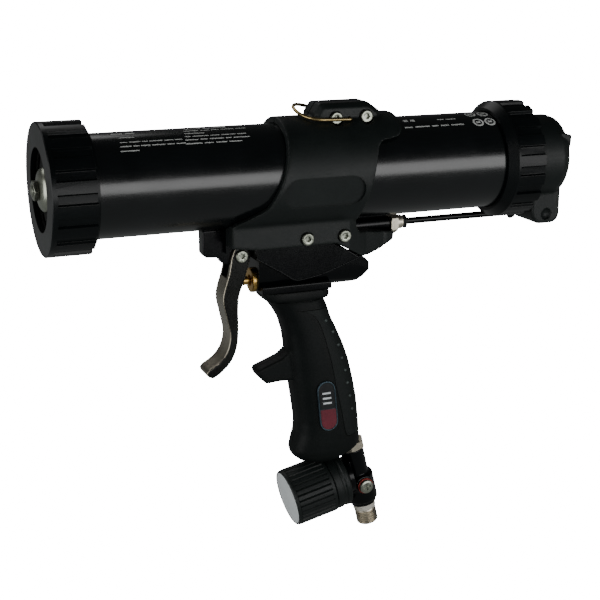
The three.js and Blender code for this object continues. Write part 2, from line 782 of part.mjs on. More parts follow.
// ---- Trigger ----
const TRIGGER_OUTLINE = lowered([
  ...curve(
    [
      [102.4, -44.8],
      [101.2, -54],
      [97.4, -67.4],
      [99.4, -78],
      [101.5, -88.5],
      [99.7, -97.3],
      [94.8, -103.4],
      [87.4, -107.6],
    ],
    16,
  ),
  [86.6, -109.6],
  [88, -112],
  [90.6, -112.8],
  ...curve(
    [
      [94.4, -110.8],
      [101.4, -104.4],
      [105.2, -96],
      [106.3, -86],
      [106.2, -74],
      [107, -65.7],
      [109.4, -59.4],
      [112.4, -50],
    ],
    14,
  ),
  [113.7, -43.4],
  [112.4, -39.6],
  [108.6, -37.6],
  [104.4, -38.8],
]);

function trigger() {
  const blade = plate(TRIGGER_OUTLINE, -TRIGGER_HALF_WIDTH, TRIGGER_HALF_WIDTH, 1.2);
  const slot = LUG_PLATE_HALF + RUN;
  const fork = block(80, 130, -slot, slot, low(-55), low(-20));
  const pin = bar([PIVOT[0], -BIG, PIVOT[1]], [PIVOT[0], BIG, PIVOT[1]], PIVOT_PIN_R + RUN);
  return cut(blade, fork, pin);
}

function pivotScrew() {
  const face = -TRIGGER_HALF_WIDTH - GAP;
  const shank = bar([PIVOT[0], face - 0.5, PIVOT[1]], [PIVOT[0], -face + 2.6, PIVOT[1]], PIVOT_PIN_R);
  const head = bar([PIVOT[0], face - 1.5, PIVOT[1]], [PIVOT[0], face, PIVOT[1]], 3.6, 20);
  const recess = plate(shift(hexagon(2.5), ...PIVOT), face - 3, face - 0.7);
  return cut(join(shank, head), recess);
}

function pivotNut() {
  const face = TRIGGER_HALF_WIDTH + GAP;
  const body = plate(shift(hexagon(6), ...PIVOT), face, face + 2.4);
  return cut(body, bar([PIVOT[0], 0, PIVOT[1]], [PIVOT[0], 20, PIVOT[1]], PIVOT_PIN_R + GAP));
}

// ---- Air line from the outlet boss to the rear cap ----
const FITTING = BOSS_END + GAP;

function outletFitting() {
  const hex = prism(shift(hexagon(12, Math.PI / 6), TUBE_Y, TUBE_Z), FITTING, FITTING + 4.6);
  const collar = rodX(FITTING + 4, FITTING + 9, 4.2, TUBE_Y, TUBE_Z, 20);
  const stub = rodX(FITTING - 6, FITTING + 1, 2.1, TUBE_Y, TUBE_Z, SMALL);
  const socket = rodX(FITTING + 2, BIG, TUBE_R + GAP, TUBE_Y, TUBE_Z, SMALL);
  const way = rodX(FITTING - 7, FITTING + 3, 1.2, TUBE_Y, TUBE_Z, SMALL);
  return cut(join(hex, collar, stub), socket, way);
}

function collet(x0, x1) {
  return turned(
    [
      [x0, TUBE_R + GAP],
      [x1, TUBE_R + GAP],
      [x1, 3.1],
      [x1 - 0.6, 3.6],
      [x0, 3.6],
    ],
    TUBE_Y,
    TUBE_Z,
    20,
  );
}

function airTube() {
  return tubeX(FITTING + 2.4, PORT_FRONT + 8, TUBE_R, TUBE_R - 0.7, TUBE_Y, TUBE_Z, 12);
}

// ---- Grip: two shells, a soft back strip and a badge ----
const PIPE_TOP = [148, HOUSING_BOTTOM - 2];
const PIPE_FOOT = [177.2, low(-161.6)];

const GRIP_SECTIONS = [
  [HOUSING_BOTTOM - GAP, 120.6, 159.8, 13.2],
  [low(-69.6), 122.6, 160, 13.2],
  [low(-71.6), 124.4, 159, 12.6],
  [low(-76), 127.8, 160.6, 12.6],
  [low(-84), 132.6, 163, 12.9],
  [low(-92), 135, 167, 13.3],
  [low(-101), 136.6, 171, 13.8],
  [low(-110), 137.4, 174.2, 14.2],
  [low(-121), 138.9, 177, 14.5],
  [low(-134), 141, 179.6, 14.7],
  [low(-147), 143, 181, 14.8],
  [low(-154), 142.8, 181.6, 14.8],
  [low(-160), 140.6, 182, 14.7],
  [low(-165.5), 139.6, 182, 14.2],
  [low(-169.6), 142.4, 181, 13],
  [low(-172.4), 148, 178, 10.6],
];

const GRIP_FLOOR = lowered([
  [120, -60],
  [120, -170],
  [146, -172.6],
  [160, -171.2],
  [190, -158.6],
  [200, -158],
  [200, -60],
]);

const PRONG_OUTLINE = lowered([
  [146, -102],
  [136.4, -102.6],
  [132.4, -106.4],
  [118.4, -111.6],
  [117.2, -113],
  [118.4, -115.8],
  [123, -120.8],
  [132, -120],
  [146, -121.6],
]);

const STRIP_OUTLINE = lowered([
  [146, -80.6],
  [152, -85.4],
  [155.6, -92],
  [158.6, -101],
  [160.8, -109],
  [163.6, -123],
  [166.6, -138],
  [168.6, -152.4],
  [171.2, -156.2],
  [176.6, -155.4],
  [200, -153.4],
  [200, -80.6],
]);

const BADGE_CENTRE = [157.2, low(-135.4)];

function stadium(length, width, tilt, [u, v]) {
  const radius = width / 2;
  const points = [];
  for (const end of [1, -1]) {
    for (let i = 0; i <= 8; i++) {
      const angle = (i * Math.PI) / 8 + (end > 0 ? 0 : Math.PI);
      const a = radius * Math.cos(angle);
      const b = end * (length / 2 - radius) + radius * Math.sin(angle);
      points.push([u + a * Math.cos(tilt) - b * Math.sin(tilt), v + a * Math.sin(tilt) + b * Math.cos(tilt)]);
    }
  }
  return points;
}

const BADGE_TILT = THREE.MathUtils.degToRad(5.8);
const BADGE_Y = [-15.6, -13];

function badge() {
  return plate(stadium(BADGE_LENGTH, BADGE_WIDTH, BADGE_TILT, BADGE_CENTRE), ...BADGE_Y, 0.5, 2);
}

function badgePocket() {
  const outline = stadium(BADGE_LENGTH + 2 * GAP, BADGE_WIDTH + 2 * GAP, BADGE_TILT, BADGE_CENTRE);
  return plate(outline, -30, BADGE_Y[1] + GAP);
}

function gripStrip() {
  const skin = cut(loft(GRIP_SECTIONS), loft(GRIP_SECTIONS, STRIP_THICKNESS));
  return skin.intersect(plate(STRIP_OUTLINE, -BIG, BIG));
}

// The strip's outline grown by the gap on the sides where it meets the shells.
function stripSpace() {
  const grown = STRIP_OUTLINE.map(([x, z], i) => {
    const low = i >= 8 && i <= 10 ? -GAP : 0;
    const high = i === 0 || i === 11 ? GAP : 0;
    return [x < 200 ? x - GAP - high : x, z + low + high];
  });
  return plate(grown, -BIG, BIG);
}

function gripBlank() {
  const shell = cut(loft(GRIP_SECTIONS), stripSpace());
  const core = loft(GRIP_SECTIONS, STRIP_THICKNESS + GAP);
  const prong = plate(PRONG_OUTLINE, -6.6, 6.6, 2);
  const floor = plate(GRIP_FLOOR, -BIG, BIG);
  const way = bar(pipePoint(-0.2), pipePoint(1.2), PIPE_R + GAP, 20);
  const nutRoom = bar(inletPoint(10), inletPoint(BODY_TOP + 4.9), LOCK_NUT_FLATS / Math.sqrt(3) + 0.8, 32);
  const spigotRoom = bar(inletPoint(10), inletPoint(BODY_TOP + 12), SPIGOT_R + GAP, 20);
  return cut(join(shell, core, prong).intersect(floor), way, nutRoom, spigotRoom, badgePocket());
}

// A point on the pipe's line: 0 at its foot and 1 at its top.
function pipePoint(t) {
  const x = PIPE_FOOT[0] + t * (PIPE_TOP[0] - PIPE_FOOT[0]);
  return [x, 0, PIPE_FOOT[1] + t * (PIPE_TOP[1] - PIPE_FOOT[1])];
}

// A point on the inlet's axis, at a height above the knob's axis.
function inletPoint(height) {
  return [REGULATOR[0] - height * Math.sin(RAKE), 0, REGULATOR[1] + height * Math.cos(RAKE)];
}

function airPipe() {
  const outer = bar(pipePoint(0.03), pipePoint(1), PIPE_R);
  return cut(outer, bar(pipePoint(-0.2), pipePoint(1.2), PIPE_R - 1));
}

// ---- Regulator, drawn upright about the inlet's axis and then raked with its group ----
const BODY_TOP = 16.6;
const BODY_FOOT = -21;
const PLUG_Z = -6;
const PLUG_FACE = -9.2;
const STUB_FACE = -9.2;
const SPRING_SEAT = -17.9;
const SCREW_PITCH_ROOM = 3.3;

function rodZ(z0, z1, radius, segments = 24) {
  return bar([0, 0, z0], [0, 0, z1], radius, segments);
}

function regulatorBody() {
  const upper = rodZ(-4, BODY_TOP, 7);
  const lower = rodZ(BODY_FOOT + 3, -1, 9.3);
  const cone = new THREE.CylinderGeometry(9.3, 7.2, 3, 20);
  const foot = solid(cone.rotateX(Math.PI / 2).translate(0, 0, BODY_FOOT + 1.5));
  const spigot = rodZ(BODY_TOP - 1, BODY_TOP + 10, SPIGOT_R);
  const stub = rodX(STUB_FACE, STUB_FACE + 3.7, 11.5);
  const plugBoss = bar([0, 0, PLUG_Z], [0, PLUG_FACE, PLUG_Z], 5.6, 20);
  const bore = rodZ(BODY_FOOT - 1, -12 + GAP + 1, SPIGOT_R + GAP);
  const way = rodZ(-13, BODY_TOP + 11, 2.4, SMALL);
  const plugHole = bar([0, 0, PLUG_Z], [0, PLUG_FACE - 1, PLUG_Z], 2.8, SMALL);
  const sensing = rodX(STUB_FACE - 1, 0, 2.4, 0, 0, SMALL);
  return cut(join(upper, lower, foot, spigot, stub, plugBoss), bore, way, plugHole, sensing);
}

function lockNut() {
  const z = BODY_TOP + GAP;
  const depth = 4.4;
  const hex = new THREE.ExtrudeGeometry(outlineOf(hexagon(LOCK_NUT_FLATS)), { depth, bevelEnabled: false });
  hex.translate(0, 0, z);
  return cut(solid(hex), rodZ(z - 1, z + 9, SPIGOT_R + GAP));
}

function diaphragm() {
  return rodX(STUB_FACE - 0.7, STUB_FACE - GAP, 11.2);
}

function bonnet() {
  const front = SPRING_SEAT - SCREW_PITCH_ROOM;
  return turned(
    [
      [STUB_FACE - 1, 7.6],
      [STUB_FACE - 1, BONNET_R - 1.2],
      [STUB_FACE - 2.2, BONNET_R],
      [BONNET_BACK + 0.6, BONNET_R],
      [BONNET_BACK, BONNET_R - 0.6],
      [BONNET_BACK, 9.8],
      [front - 2.4, 9.8],
      [front - 2.4, ROD_R + RUN],
      [front, ROD_R + RUN],
      [front, 7.6],
    ],
    0,
    0,
    24,
  );
}

function springButton() {
  return rodX(SPRING_SEAT, SPRING_SEAT + 1, 7.2, 0, 0, 20);
}

function regulatorSpring() {
  return coil(SPRING_SEAT + 1 + GAP, STUB_FACE - 1, 5.6, 0.6, 3, 0, 0);
}

function adjustingScrew() {
  return rodX(-KNOB_REACH + 4.8, SPRING_SEAT - GAP, ROD_R, 0, 0, SMALL);
}

function regulatorKnob() {
  const face = -KNOB_REACH;
  const back = face + KNOB_LENGTH;
  const ribs = prism(ribOutline(KNOB_RIBS, KNOB_R, 0.9, 0.42, 0.5), face + 3.4, back - 1.6);
  const core = turned(
    [
      [face, 0],
      [face, KNOB_R - 0.9],
      [face + 0.6, KNOB_R - 0.3],
      [face + 3.6, KNOB_R - 0.1],
      [face + 3.6, KNOB_R - 1.3],
      [back - 1.8, KNOB_R - 1.3],
      [back - 1.8, KNOB_R],
      [back, KNOB_R],
      [back, 0],
    ],
  );
  const dish = rodX(face - 1, face + 0.9, KNOB_R - 1.3);
  const skirt = rodX(face + 9, back + 1, KNOB_R - 3);
  const bore = rodX(face + 4.5, back, ROD_R + GAP, 0, 0, SMALL);
  const pillar = tubeX(face + 8, SPRING_SEAT - SCREW_PITCH_ROOM - 5.6, 6.5, ROD_R + GAP, 0, 0, 20);
  return join(cut(join(core, ribs), dish, skirt, bore), pillar);
}

function labelDisc() {
  return rodX(-KNOB_REACH + 0.1, -KNOB_REACH + 0.6, KNOB_R - 1.6);
}

function plugWasher() {
  const body = bar([0, PLUG_FACE - GAP, PLUG_Z], [0, PLUG_FACE - GAP - 1.2, PLUG_Z], 4.8, 20);
  return cut(body, bar([0, 0, PLUG_Z], [0, -20, PLUG_Z], 2.8, SMALL));
}

function plugScrew() {
  const seat = PLUG_FACE - GAP - 1.2 - GAP;
  const head = bar([0, seat, PLUG_Z], [0, seat - 1.6, PLUG_Z], 4.3, 20);
  const shank = bar([0, seat - 0.5, PLUG_Z], [0, -4.4, PLUG_Z], 2.5);
  const slots = [[3.6, 0.8], [0.8, 3.6]].map(([w, h]) =>
    block(-w / 2, w / 2, seat - 3, seat - 0.8, PLUG_Z - h / 2, PLUG_Z + h / 2),
  );
  return cut(join(head, shank), ...slots);
}

function inletCollar() {
  return cut(rodZ(BODY_FOOT - 3.5, BODY_FOOT - GAP, 6.9), rodZ(BODY_FOOT - 5, BODY_FOOT + 1, SPIGOT_R + GAP));
}

function inletNipple() {
  const top = BODY_FOOT - 3.8;
  const foot = -34.5;
  const thread = rodZ(foot + 1, top, NIPPLE_R, 28);
  const cone = new THREE.CylinderGeometry(NIPPLE_R, NIPPLE_R - 0.8, 1.02, 28);
  const tip = solid(cone.rotateX(Math.PI / 2).translate(0, 0, foot + 0.51));
  const neck = rodZ(top - 1, -12, SPIGOT_R);
  return cut(join(thread, tip, neck), rodZ(foot - 1, -11, NIPPLE_BORE_R));
}

// ---- Assembly ----
addPiece("barrel_tube", "anodisedBlack", barrelTube());
addPiece("front_ring_nut", "glossBlack", frontRingNut());
addPiece("front_seal", "rubberBlack", frontSeal());
addPiece("rear_ring_nut", "glossBlack", rearRingNut());
addPiece("rear_cap_seal", "rubberBlack", rearSeal());
addPiece("rear_cap", "mattBlack", rearCap());

addPiece("piston_body", "rubberBlack", pistonBody());
addPiece("piston_seal", "rubberBlack", pistonSeal());
addPiece("piston_dome_washer", "zincSteel", domeWasher());
addPiece("piston_nut", "zincSteel", pistonNut());
addPiece("piston_bolt", "zincSteel", pistonBolt());
addPiece("piston_back_plate", "zincSteel", backPlate());

addPiece("saddle_left", "mattBlack", saddleHalf(nearHalf()));
addPiece("saddle_right", "mattBlack", saddleHalf(farHalf()));
UPPER_BOLTS.forEach((place, i) => {
  addPiece(`lug_bolt_${i + 1}`, "zincSteel", crossBolt(place, LUG_HALF_WIDTH));
  addPiece(`lug_nut_${i + 1}`, "zincSteel", crossNut(place, LUG_HALF_WIDTH));
});
LOWER_BOLTS.forEach((place, i) => {
  addPiece(`saddle_bolt_${i + 1}`, "zincSteel", crossBolt(place, SADDLE_HALF_WIDTH));
  addPiece(`saddle_nut_${i + 1}`, "zincSteel", crossNut(place, SADDLE_HALF_WIDTH));
});
addPiece("hanging_bail", "brass", hangingBail());

addPiece("valve_housing", "glossBlack", valveHousing());
addPiece("valve_gland", "brass", valveGland());
addPiece("valve_stem", "brass", valveStem());
addPiece("valve_seat", "brass", valveSeat());
addPiece("valve_seal", "rubberBlack", valveSeal());
addPiece("valve_spring", "springSteel", valveSpring());
addPiece("trigger", "nickel", trigger());
addPiece("trigger_pivot_screw", "zincSteel", pivotScrew());
addPiece("trigger_pivot_nut", "zincSteel", pivotNut());

addPiece("outlet_fitting", "nickel", outletFitting());
addPiece("outlet_collet", "rubberBlack", collet(FITTING + 9 + GAP, FITTING + 11.4));
addPiece("rear_collet", "rubberBlack", collet(PORT_FRONT - 2.6, PORT_FRONT - GAP));
addPiece("air_tube", "rubberBlack", airTube());

addPiece("grip_left", "mattBlack", gripBlank().intersect(nearHalf()));
addPiece("grip_right", "mattBlack", gripBlank().intersect(farHalf()));
addPiece("grip_back_strip", "rubberBlack", gripStrip());
addPiece("grip_badge", "labelGrey", badge());
addPiece("grip_air_pipe", "aluminium", airPipe());

const inlet = new THREE.Group();
inlet.position.set(REGULATOR[0], 0, REGULATOR[1]);
inlet.rotation.y = -RAKE;
assembly.add(inlet);
addPiece("inlet_lock_nut", "nickel", lockNut(), inlet);
addPiece("regulator_body", "glossBlack", regulatorBody(), inlet);
addPiece("regulator_diaphragm", "rubberBlack", diaphragm(), inlet);
addPiece("regulator_bonnet", "mattBlack", bonnet(), inlet);
addPiece("regulator_spring", "springSteel", regulatorSpring(), inlet);
addPiece("spring_button", "brass", springButton(), inlet);
addPiece("adjusting_screw", "zincSteel", adjustingScrew(), inlet);
addPiece("regulator_knob", "mattBlack", regulatorKnob(), inlet);
addPiece("knob_label_disc", "labelGrey", labelDisc(), inlet);
addPiece("plug_washer", "sealRed", plugWasher(), inlet);
addPiece("plug_screw", "nickel", plugScrew(), inlet);
addPiece("inlet_collar", "nylonWhite", inletCollar(), inlet);
addPiece("inlet_nipple", "nickel", inletNipple(), inlet);

assembly.position.x = -CAP_BACK;

const gun = new THREE.Group();
gun.add(assembly);
export default gun;
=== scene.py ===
# %% [markdown]
# A pneumatic caulking gun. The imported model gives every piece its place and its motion, and this
# lesson dresses it: each visible piece is modelled again with its real edges, and every piece gets
# a procedural finish. We load the frame first, because each piece rides on one of its bodies.

# %% Load the frame
import math

import bmesh
import bpy
from mathutils import Matrix, Vector


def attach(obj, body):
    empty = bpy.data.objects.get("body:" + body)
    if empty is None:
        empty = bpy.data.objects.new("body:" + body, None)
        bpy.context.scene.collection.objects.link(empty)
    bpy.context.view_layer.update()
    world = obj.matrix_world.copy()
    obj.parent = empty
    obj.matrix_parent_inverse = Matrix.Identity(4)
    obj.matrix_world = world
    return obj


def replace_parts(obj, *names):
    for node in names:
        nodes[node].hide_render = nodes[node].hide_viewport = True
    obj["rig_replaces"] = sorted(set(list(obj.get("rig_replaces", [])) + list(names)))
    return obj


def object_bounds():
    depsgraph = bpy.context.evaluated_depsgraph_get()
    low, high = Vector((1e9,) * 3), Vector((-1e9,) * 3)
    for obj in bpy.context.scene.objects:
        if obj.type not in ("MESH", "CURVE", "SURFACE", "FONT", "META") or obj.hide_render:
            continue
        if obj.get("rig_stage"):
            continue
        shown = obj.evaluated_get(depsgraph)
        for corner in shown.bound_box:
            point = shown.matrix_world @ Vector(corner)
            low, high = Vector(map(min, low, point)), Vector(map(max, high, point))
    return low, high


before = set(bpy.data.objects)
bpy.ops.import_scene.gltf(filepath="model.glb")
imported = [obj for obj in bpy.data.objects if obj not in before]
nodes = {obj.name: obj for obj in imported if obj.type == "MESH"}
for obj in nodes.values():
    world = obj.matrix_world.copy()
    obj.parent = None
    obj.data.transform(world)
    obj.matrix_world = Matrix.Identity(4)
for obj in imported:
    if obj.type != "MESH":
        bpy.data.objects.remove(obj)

cad_low, cad_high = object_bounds()

# %% [markdown]
# Drawings of such a gun are in millimetres along the barrel, counted from the front ring's face. We
# model in those numbers and bring each finished mesh into the frame, whose origin is the middle of
# the rear cap's back. The regulator hangs at a rake, so it has a drawing place of its own.

# %% The two drawing places
MM = 0.001
CAP_BACK = 309.3
RAKE = math.radians(13)
REGULATOR = (183, 0, -186)
HOME = Matrix.Scale(MM, 4) @ Matrix.Translation((-CAP_BACK, 0, 0))
INLET = HOME @ Matrix.Translation(REGULATOR) @ Matrix.Rotation(-RAKE, 4, "Y")

# %% [markdown]
# The camera stands to the left of the gun and a little above it, with a long lens, so the barrel's
# two edges stay almost parallel.

# %% Camera
camera = bpy.data.objects.new("camera", bpy.data.cameras.new("camera"))
camera.data.lens = 77.52
camera.data.sensor_width = 36
camera.data.clip_end = 60
camera.location = (-0.428584, -0.662541, 0.127050)
camera.rotation_euler = (math.radians(90 - 15.755), 0, math.radians(-21.813))
bpy.context.scene.collection.objects.link(camera)
bpy.context.scene.camera = camera

# %% [markdown]
# Black gloss shows its lights more than itself. A long soft box beside the camera draws the band
# along the barrel, one behind and above draws its upper rim, and a third on the left lights the
# knob's face and the front ring. The ceiling stays dark, which keeps the black between the bands.

# %% Soft boxes and the room
MIDDLE = Vector((-0.15, 0, -0.06))


def soft_box(name, place, width, height, watts, aim=MIDDLE):
    light = bpy.data.lights.new(name, "AREA")
    light.shape = "RECTANGLE"
    light.size = width
    light.size_y = height
    light.energy = watts
    lamp = bpy.data.objects.new(name, light)
    lamp.location = place
    lamp.rotation_euler = (aim - Vector(place)).to_track_quat("-Z", "Y").to_euler()
    bpy.context.scene.collection.objects.link(lamp)
    return lamp


soft_box("soft_box_front", (0.30, -1.15, 0.05), 1.4, 0.5, 8)
soft_box("soft_box_back", (-0.6, 1.1, 1.05), 1.6, 0.6, 4)
soft_box("soft_box_left", (-1.25, -0.25, 0.05), 0.9, 0.9, 7)

# %% [markdown]
# A small helper adds a node with its settings and its links; every material below is made with it.

# %% Node and colour helpers


def add(tree, kind, inputs=(), **settings):
    """Adds a node, sets its properties, and fills or links its inputs."""
    node = tree.nodes.new(kind)
    for key, value in settings.items():
        setattr(node, key, value)
    for key, value in dict(inputs).items():
        if isinstance(value, bpy.types.NodeSocket):
            tree.links.new(value, node.inputs[key])
        else:
            node.inputs[key].default_value = value
    return node


def linear(hex_colour, alpha=1.0):
    """An sRGB hex colour as the linear values that a shader works in."""
    channels = [int(hex_colour[i : i + 2], 16) / 255 for i in (1, 3, 5)]
    return [c / 12.92 if c <= 0.04045 else ((c + 0.055) / 1.055) ** 2.4 for c in channels] + [alpha]


world = bpy.data.worlds.new("studio")
bpy.context.scene.world = world
world.use_nodes = True
tree = world.node_tree
tree.nodes.clear()
direction = add(tree, "ShaderNodeTexCoord")
height = add(tree, "ShaderNodeSeparateXYZ", {0: direction.outputs["Generated"]})
shade = add(tree, "ShaderNodeMapRange", {"Value": height.outputs["Z"], "From Min": -0.25, "From Max": 0.35,
                                         "To Min": 0.24, "To Max": 0.04})
room = add(tree, "ShaderNodeBackground", {"Color": linear("#f4f8f7"), "Strength": shade.outputs[0]})
PAPER_GLOW = 20.0
backdrop = add(tree, "ShaderNodeBackground", {"Color": linear("#ffffff"), "Strength": PAPER_GLOW})
path = add(tree, "ShaderNodeLightPath")
seen = add(tree, "ShaderNodeMixShader", {0: path.outputs["Is Camera Ray"], 1: room.outputs[0], 2: backdrop.outputs[0]})
add(tree, "ShaderNodeOutputWorld", {"Surface": seen.outputs[0]})

# %% [markdown]
# The floor is a plain white sweep. It glows as brightly as the backdrop above it, as overexposed
# paper does, and stays out of the gloss, where the dark room belongs.

# %% Floor
bpy.ops.object.select_all(action="DESELECT")
FLOOR_Z = cad_low.z - 0.004
bpy.ops.mesh.primitive_grid_add(size=40, x_subdivisions=4, y_subdivisions=4, location=(0, 0, FLOOR_Z))
floor = bpy.context.object
floor.name = "floor"
paper = bpy.data.materials.new("studio_paper")
paper.use_nodes = True
tree = paper.node_tree
shader = tree.nodes["Principled BSDF"]
shader.inputs["Base Color"].default_value = linear("#f2f2f1")
shader.inputs["Roughness"].default_value = 0.9
shader.inputs["Emission Color"].default_value = linear("#ffffff")
shader.inputs["Emission Strength"].default_value = PAPER_GLOW
floor.data.materials.append(paper)
floor.visible_glossy = False
floor.visible_diffuse = False
floor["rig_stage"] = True

# %% [markdown]
# ## Finishes
# Most finishes share one build: a base colour that wanders a little between two tones, a roughness
# that wanders with it, and a fine bump whose grain comes from a real size in millimetres. What
# differs is the maker's process, and that is what each comment names.

# %% The shared finish


def surface(name, light, dark, roughness, grain_mm, bump, metallic=0.0, stretch=(1, 1, 1), patch_mm=18,
            wander=0.06, coat=0.0, specular=0.5):
    """A finish with patches of tone and gloss, and a grain that stretch can draw out along an axis."""
    made = bpy.data.materials.new(name)
    made.use_nodes = True
    tree = made.node_tree
    shader = tree.nodes["Principled BSDF"]
    place = add(tree, "ShaderNodeTexCoord").outputs["Object"]
    patches = add(tree, "ShaderNodeTexNoise", {"Vector": place, "Scale": 1000 / patch_mm, "Detail": 4})
    drawn = add(tree, "ShaderNodeMapping", {"Vector": place, "Scale": stretch})
    grain = add(tree, "ShaderNodeTexNoise", {"Vector": drawn.outputs[0], "Scale": 1000 / grain_mm, "Detail": 3})
    both = add(tree, "ShaderNodeMath", {0: patches.outputs["Fac"], 1: grain.outputs["Fac"]}, operation="ADD")
    share = add(tree, "ShaderNodeMapRange", {"Value": both.outputs[0], "From Min": 0.7, "From Max": 1.3})
    tone = add(tree, "ShaderNodeMix", {"Factor": share.outputs[0], "A": linear(dark), "B": linear(light)},
               data_type="RGBA")
    gloss = add(tree, "ShaderNodeMapRange", {"Value": share.outputs[0], "To Min": roughness - wander,
                                             "To Max": roughness + wander})
    relief = add(tree, "ShaderNodeBump", {"Height": grain.outputs["Fac"], "Strength": bump,
                                          "Distance": grain_mm * MM * 0.25})
    tree.links.new(tone.outputs["Result"], shader.inputs["Base Color"])
    tree.links.new(gloss.outputs[0], shader.inputs["Roughness"])
    tree.links.new(relief.outputs[0], shader.inputs["Normal"])
    shader.inputs["Metallic"].default_value = metallic
    shader.inputs["Coat Weight"].default_value = coat
    shader.inputs["Coat Roughness"].default_value = 0.12
    shader.inputs["Specular IOR Level"].default_value = specular
    return made


# %% The finishes of this gun
# Anodised aluminium, drawn and dyed black: a faint grain runs along the tube under a satin gloss.
anodised_black = surface("anodised_aluminium_black", "#0a0f11", "#05090a", 0.22, 0.5, 0.05, stretch=(0.05, 1, 1),
                         wander=0.03, specular=0.62)
# Anodised aluminium, turned and milled: the same dye on ribs, with a finer cutter's grain.
anodised_ribs = surface("anodised_aluminium_ribs", "#0a0f10", "#05080a", 0.3, 0.35, 0.08, stretch=(0.1, 1, 1),
                        wander=0.03, specular=0.22)
# Die-cast zinc under black gloss enamel: smooth, with the slight orange peel of sprayed paint.
enamel_black = surface("enamel_black_gloss", "#040709", "#020305", 0.2, 1.8, 0.05, wander=0.03, specular=0.24)
# Glass-filled nylon, moulded in a spark-eroded mould: matt and finely pitted, a dark green grey.
nylon_matt = surface("nylon_moulded_matt", "#131a19", "#0b1110", 0.52, 0.45, 0.3, wander=0.07, specular=0.36)
# The same nylon on the grip, which hands have polished a little.
nylon_grip = surface("nylon_moulded_grip", "#0a0f0e", "#050909", 0.55, 0.5, 0.28, wander=0.08, specular=0.18)
# Thermoplastic rubber, moulded over the grip's back: duller than nylon, with a soft skin.
rubber_soft = surface("rubber_moulded_soft", "#111817", "#0a100f", 0.62, 0.6, 0.25, wander=0.05, specular=0.26)
# The little domes on that rubber are glossier, as the palm polishes them, and far lighter in colour than the rubber: a
# painted highlight on each dome.
rubber_domes_highlight = surface("rubber_domes_painted_highlight", "#4a5552", "#333c3a", 0.34, 0.6, 0.1, wander=0.05, specular=0.5)
rubber_seal = surface("rubber_nitrile_seal", "#151716", "#0c0d0d", 0.7, 0.5, 0.3, specular=0.4)
# Cast zinc with satin nickel plate: warm grey, the cast skin shows through the plate.
nickel_satin = surface("nickel_plate_satin", "#b9b2a2", "#8d8779", 0.3, 0.9, 0.18, metallic=1.0, wander=0.06)
# The trigger's flat sides get a near-black colour in place of the nickel: a painted dark reflection.
nickel_sides_dark_reflection = surface("trigger_sides_painted_dark_reflection", "#1c1d1b", "#10110f", 0.3, 0.9, 0.15, metallic=0.4, wander=0.06,
                       specular=0.3)
# Bright zinc plated steel screws, cool and a little yellow where the plate is passivated.
zinc_bright = surface("zinc_plated_steel", "#b4b8aa", "#7f8376", 0.3, 0.6, 0.12, metallic=1.0)
# Nickel plated brass fittings, turned: rings of fine tool marks round the axis.
nickel_turned = surface("nickel_plated_brass", "#e6dfcf", "#bdb5a3", 0.4, 0.4, 0.18, metallic=1.0)
brass_turned = surface("brass_turned", "#d9b46a", "#b08a45", 0.28, 0.4, 0.16, metallic=1.0)
# Brass wire, drawn through a die: long faint lines, dulled by handling.
brass_wire = surface("brass_drawn_wire", "#cdb684", "#8f7c50", 0.3, 0.35, 0.2, metallic=1.0, stretch=(0.1, 1, 1))
spring_steel = surface("spring_steel_wire", "#a9a9a5", "#7c7c79", 0.34, 0.3, 0.15, metallic=1.0)
aluminium_drawn = surface("aluminium_drawn_tube", "#c4c4c2", "#a3a3a1", 0.36, 0.4, 0.15, metallic=1.0,
                          stretch=(1, 1, 0.1))
# Natural nylon for the collar: milky and slightly yellow.
nylon_white = surface("nylon_natural_white", "#dcd9cf", "#c9c4b6", 0.5, 0.6, 0.15, wander=0.05)
# Vulcanised fibre, pressed and dyed red, with a papery grain.
fibre_red = surface("vulcanised_fibre_red", "#a83a30", "#86261f", 0.55, 0.4, 0.3, wander=0.05)
# Screen-printed foil labels: a flat ink under a thin clear film.
foil_grey = surface("foil_label_grey", "#eef3f4", "#dfe6e8", 0.42, 0.5, 0.06, wander=0.03, coat=0.3)
foil_rim = surface("foil_label_rim", "#5f7480", "#37454d", 0.34, 0.5, 0.06, metallic=0.7, wander=0.03)
foil_red = surface("foil_label_red", "#7c1c30", "#4c0f1d", 0.36, 0.5, 0.1, wander=0.04, coat=0.4)
foil_dark = surface("foil_label_dark", "#0c1116", "#06090c", 0.3, 0.5, 0.08, wander=0.04, coat=0.4)
# White screen ink printed on the barrel.
ink_white = surface("screen_ink_white", "#dfe2df", "#c4c8c4", 0.5, 0.5, 0.1, wander=0.04)
print("finishes", len(bpy.data.materials))

# %% [markdown]
# ## Modelling helpers
# A primitive is only a start. Three ways of shaping cover this gun: a turned piece (a circle that is
# extruded and scaled along its axis), a slab (an outline that is extruded sideways), and a moulded
# piece, whose lumps are fused by a fine remesh and smoothed, which rounds every inner and outer
# corner as a mould does.

# %% Selecting, modifying and joining


def clear():
    """Leaves edit mode and deselects everything, because an operator acts on all that is selected."""
    if bpy.context.object and bpy.context.mode != "OBJECT":
        bpy.ops.object.mode_set(mode="OBJECT")
    bpy.ops.object.select_all(action="DESELECT")


def pick(piece):
    clear()
    piece.select_set(True)
    bpy.context.view_layer.objects.active = piece


def edit():
    """Enters edit mode with the whole mesh selected."""
    bpy.ops.object.mode_set(mode="EDIT")
    bpy.ops.mesh.select_all(action="SELECT")


def doubled(piece):
    """A second object with a mesh of its own."""
    copy = piece.copy()
    copy.data = piece.data.copy()
    bpy.context.scene.collection.objects.link(copy)
    return copy


def modify(piece, kind, **settings):
    """Adds a modifier, sets it up and applies it."""
    pick(piece)
    modifier = piece.modifiers.new(kind.title(), kind)
    for key, value in settings.items():
        setattr(modifier, key, value)
    bpy.ops.object.modifier_apply(modifier=modifier.name)
    return piece


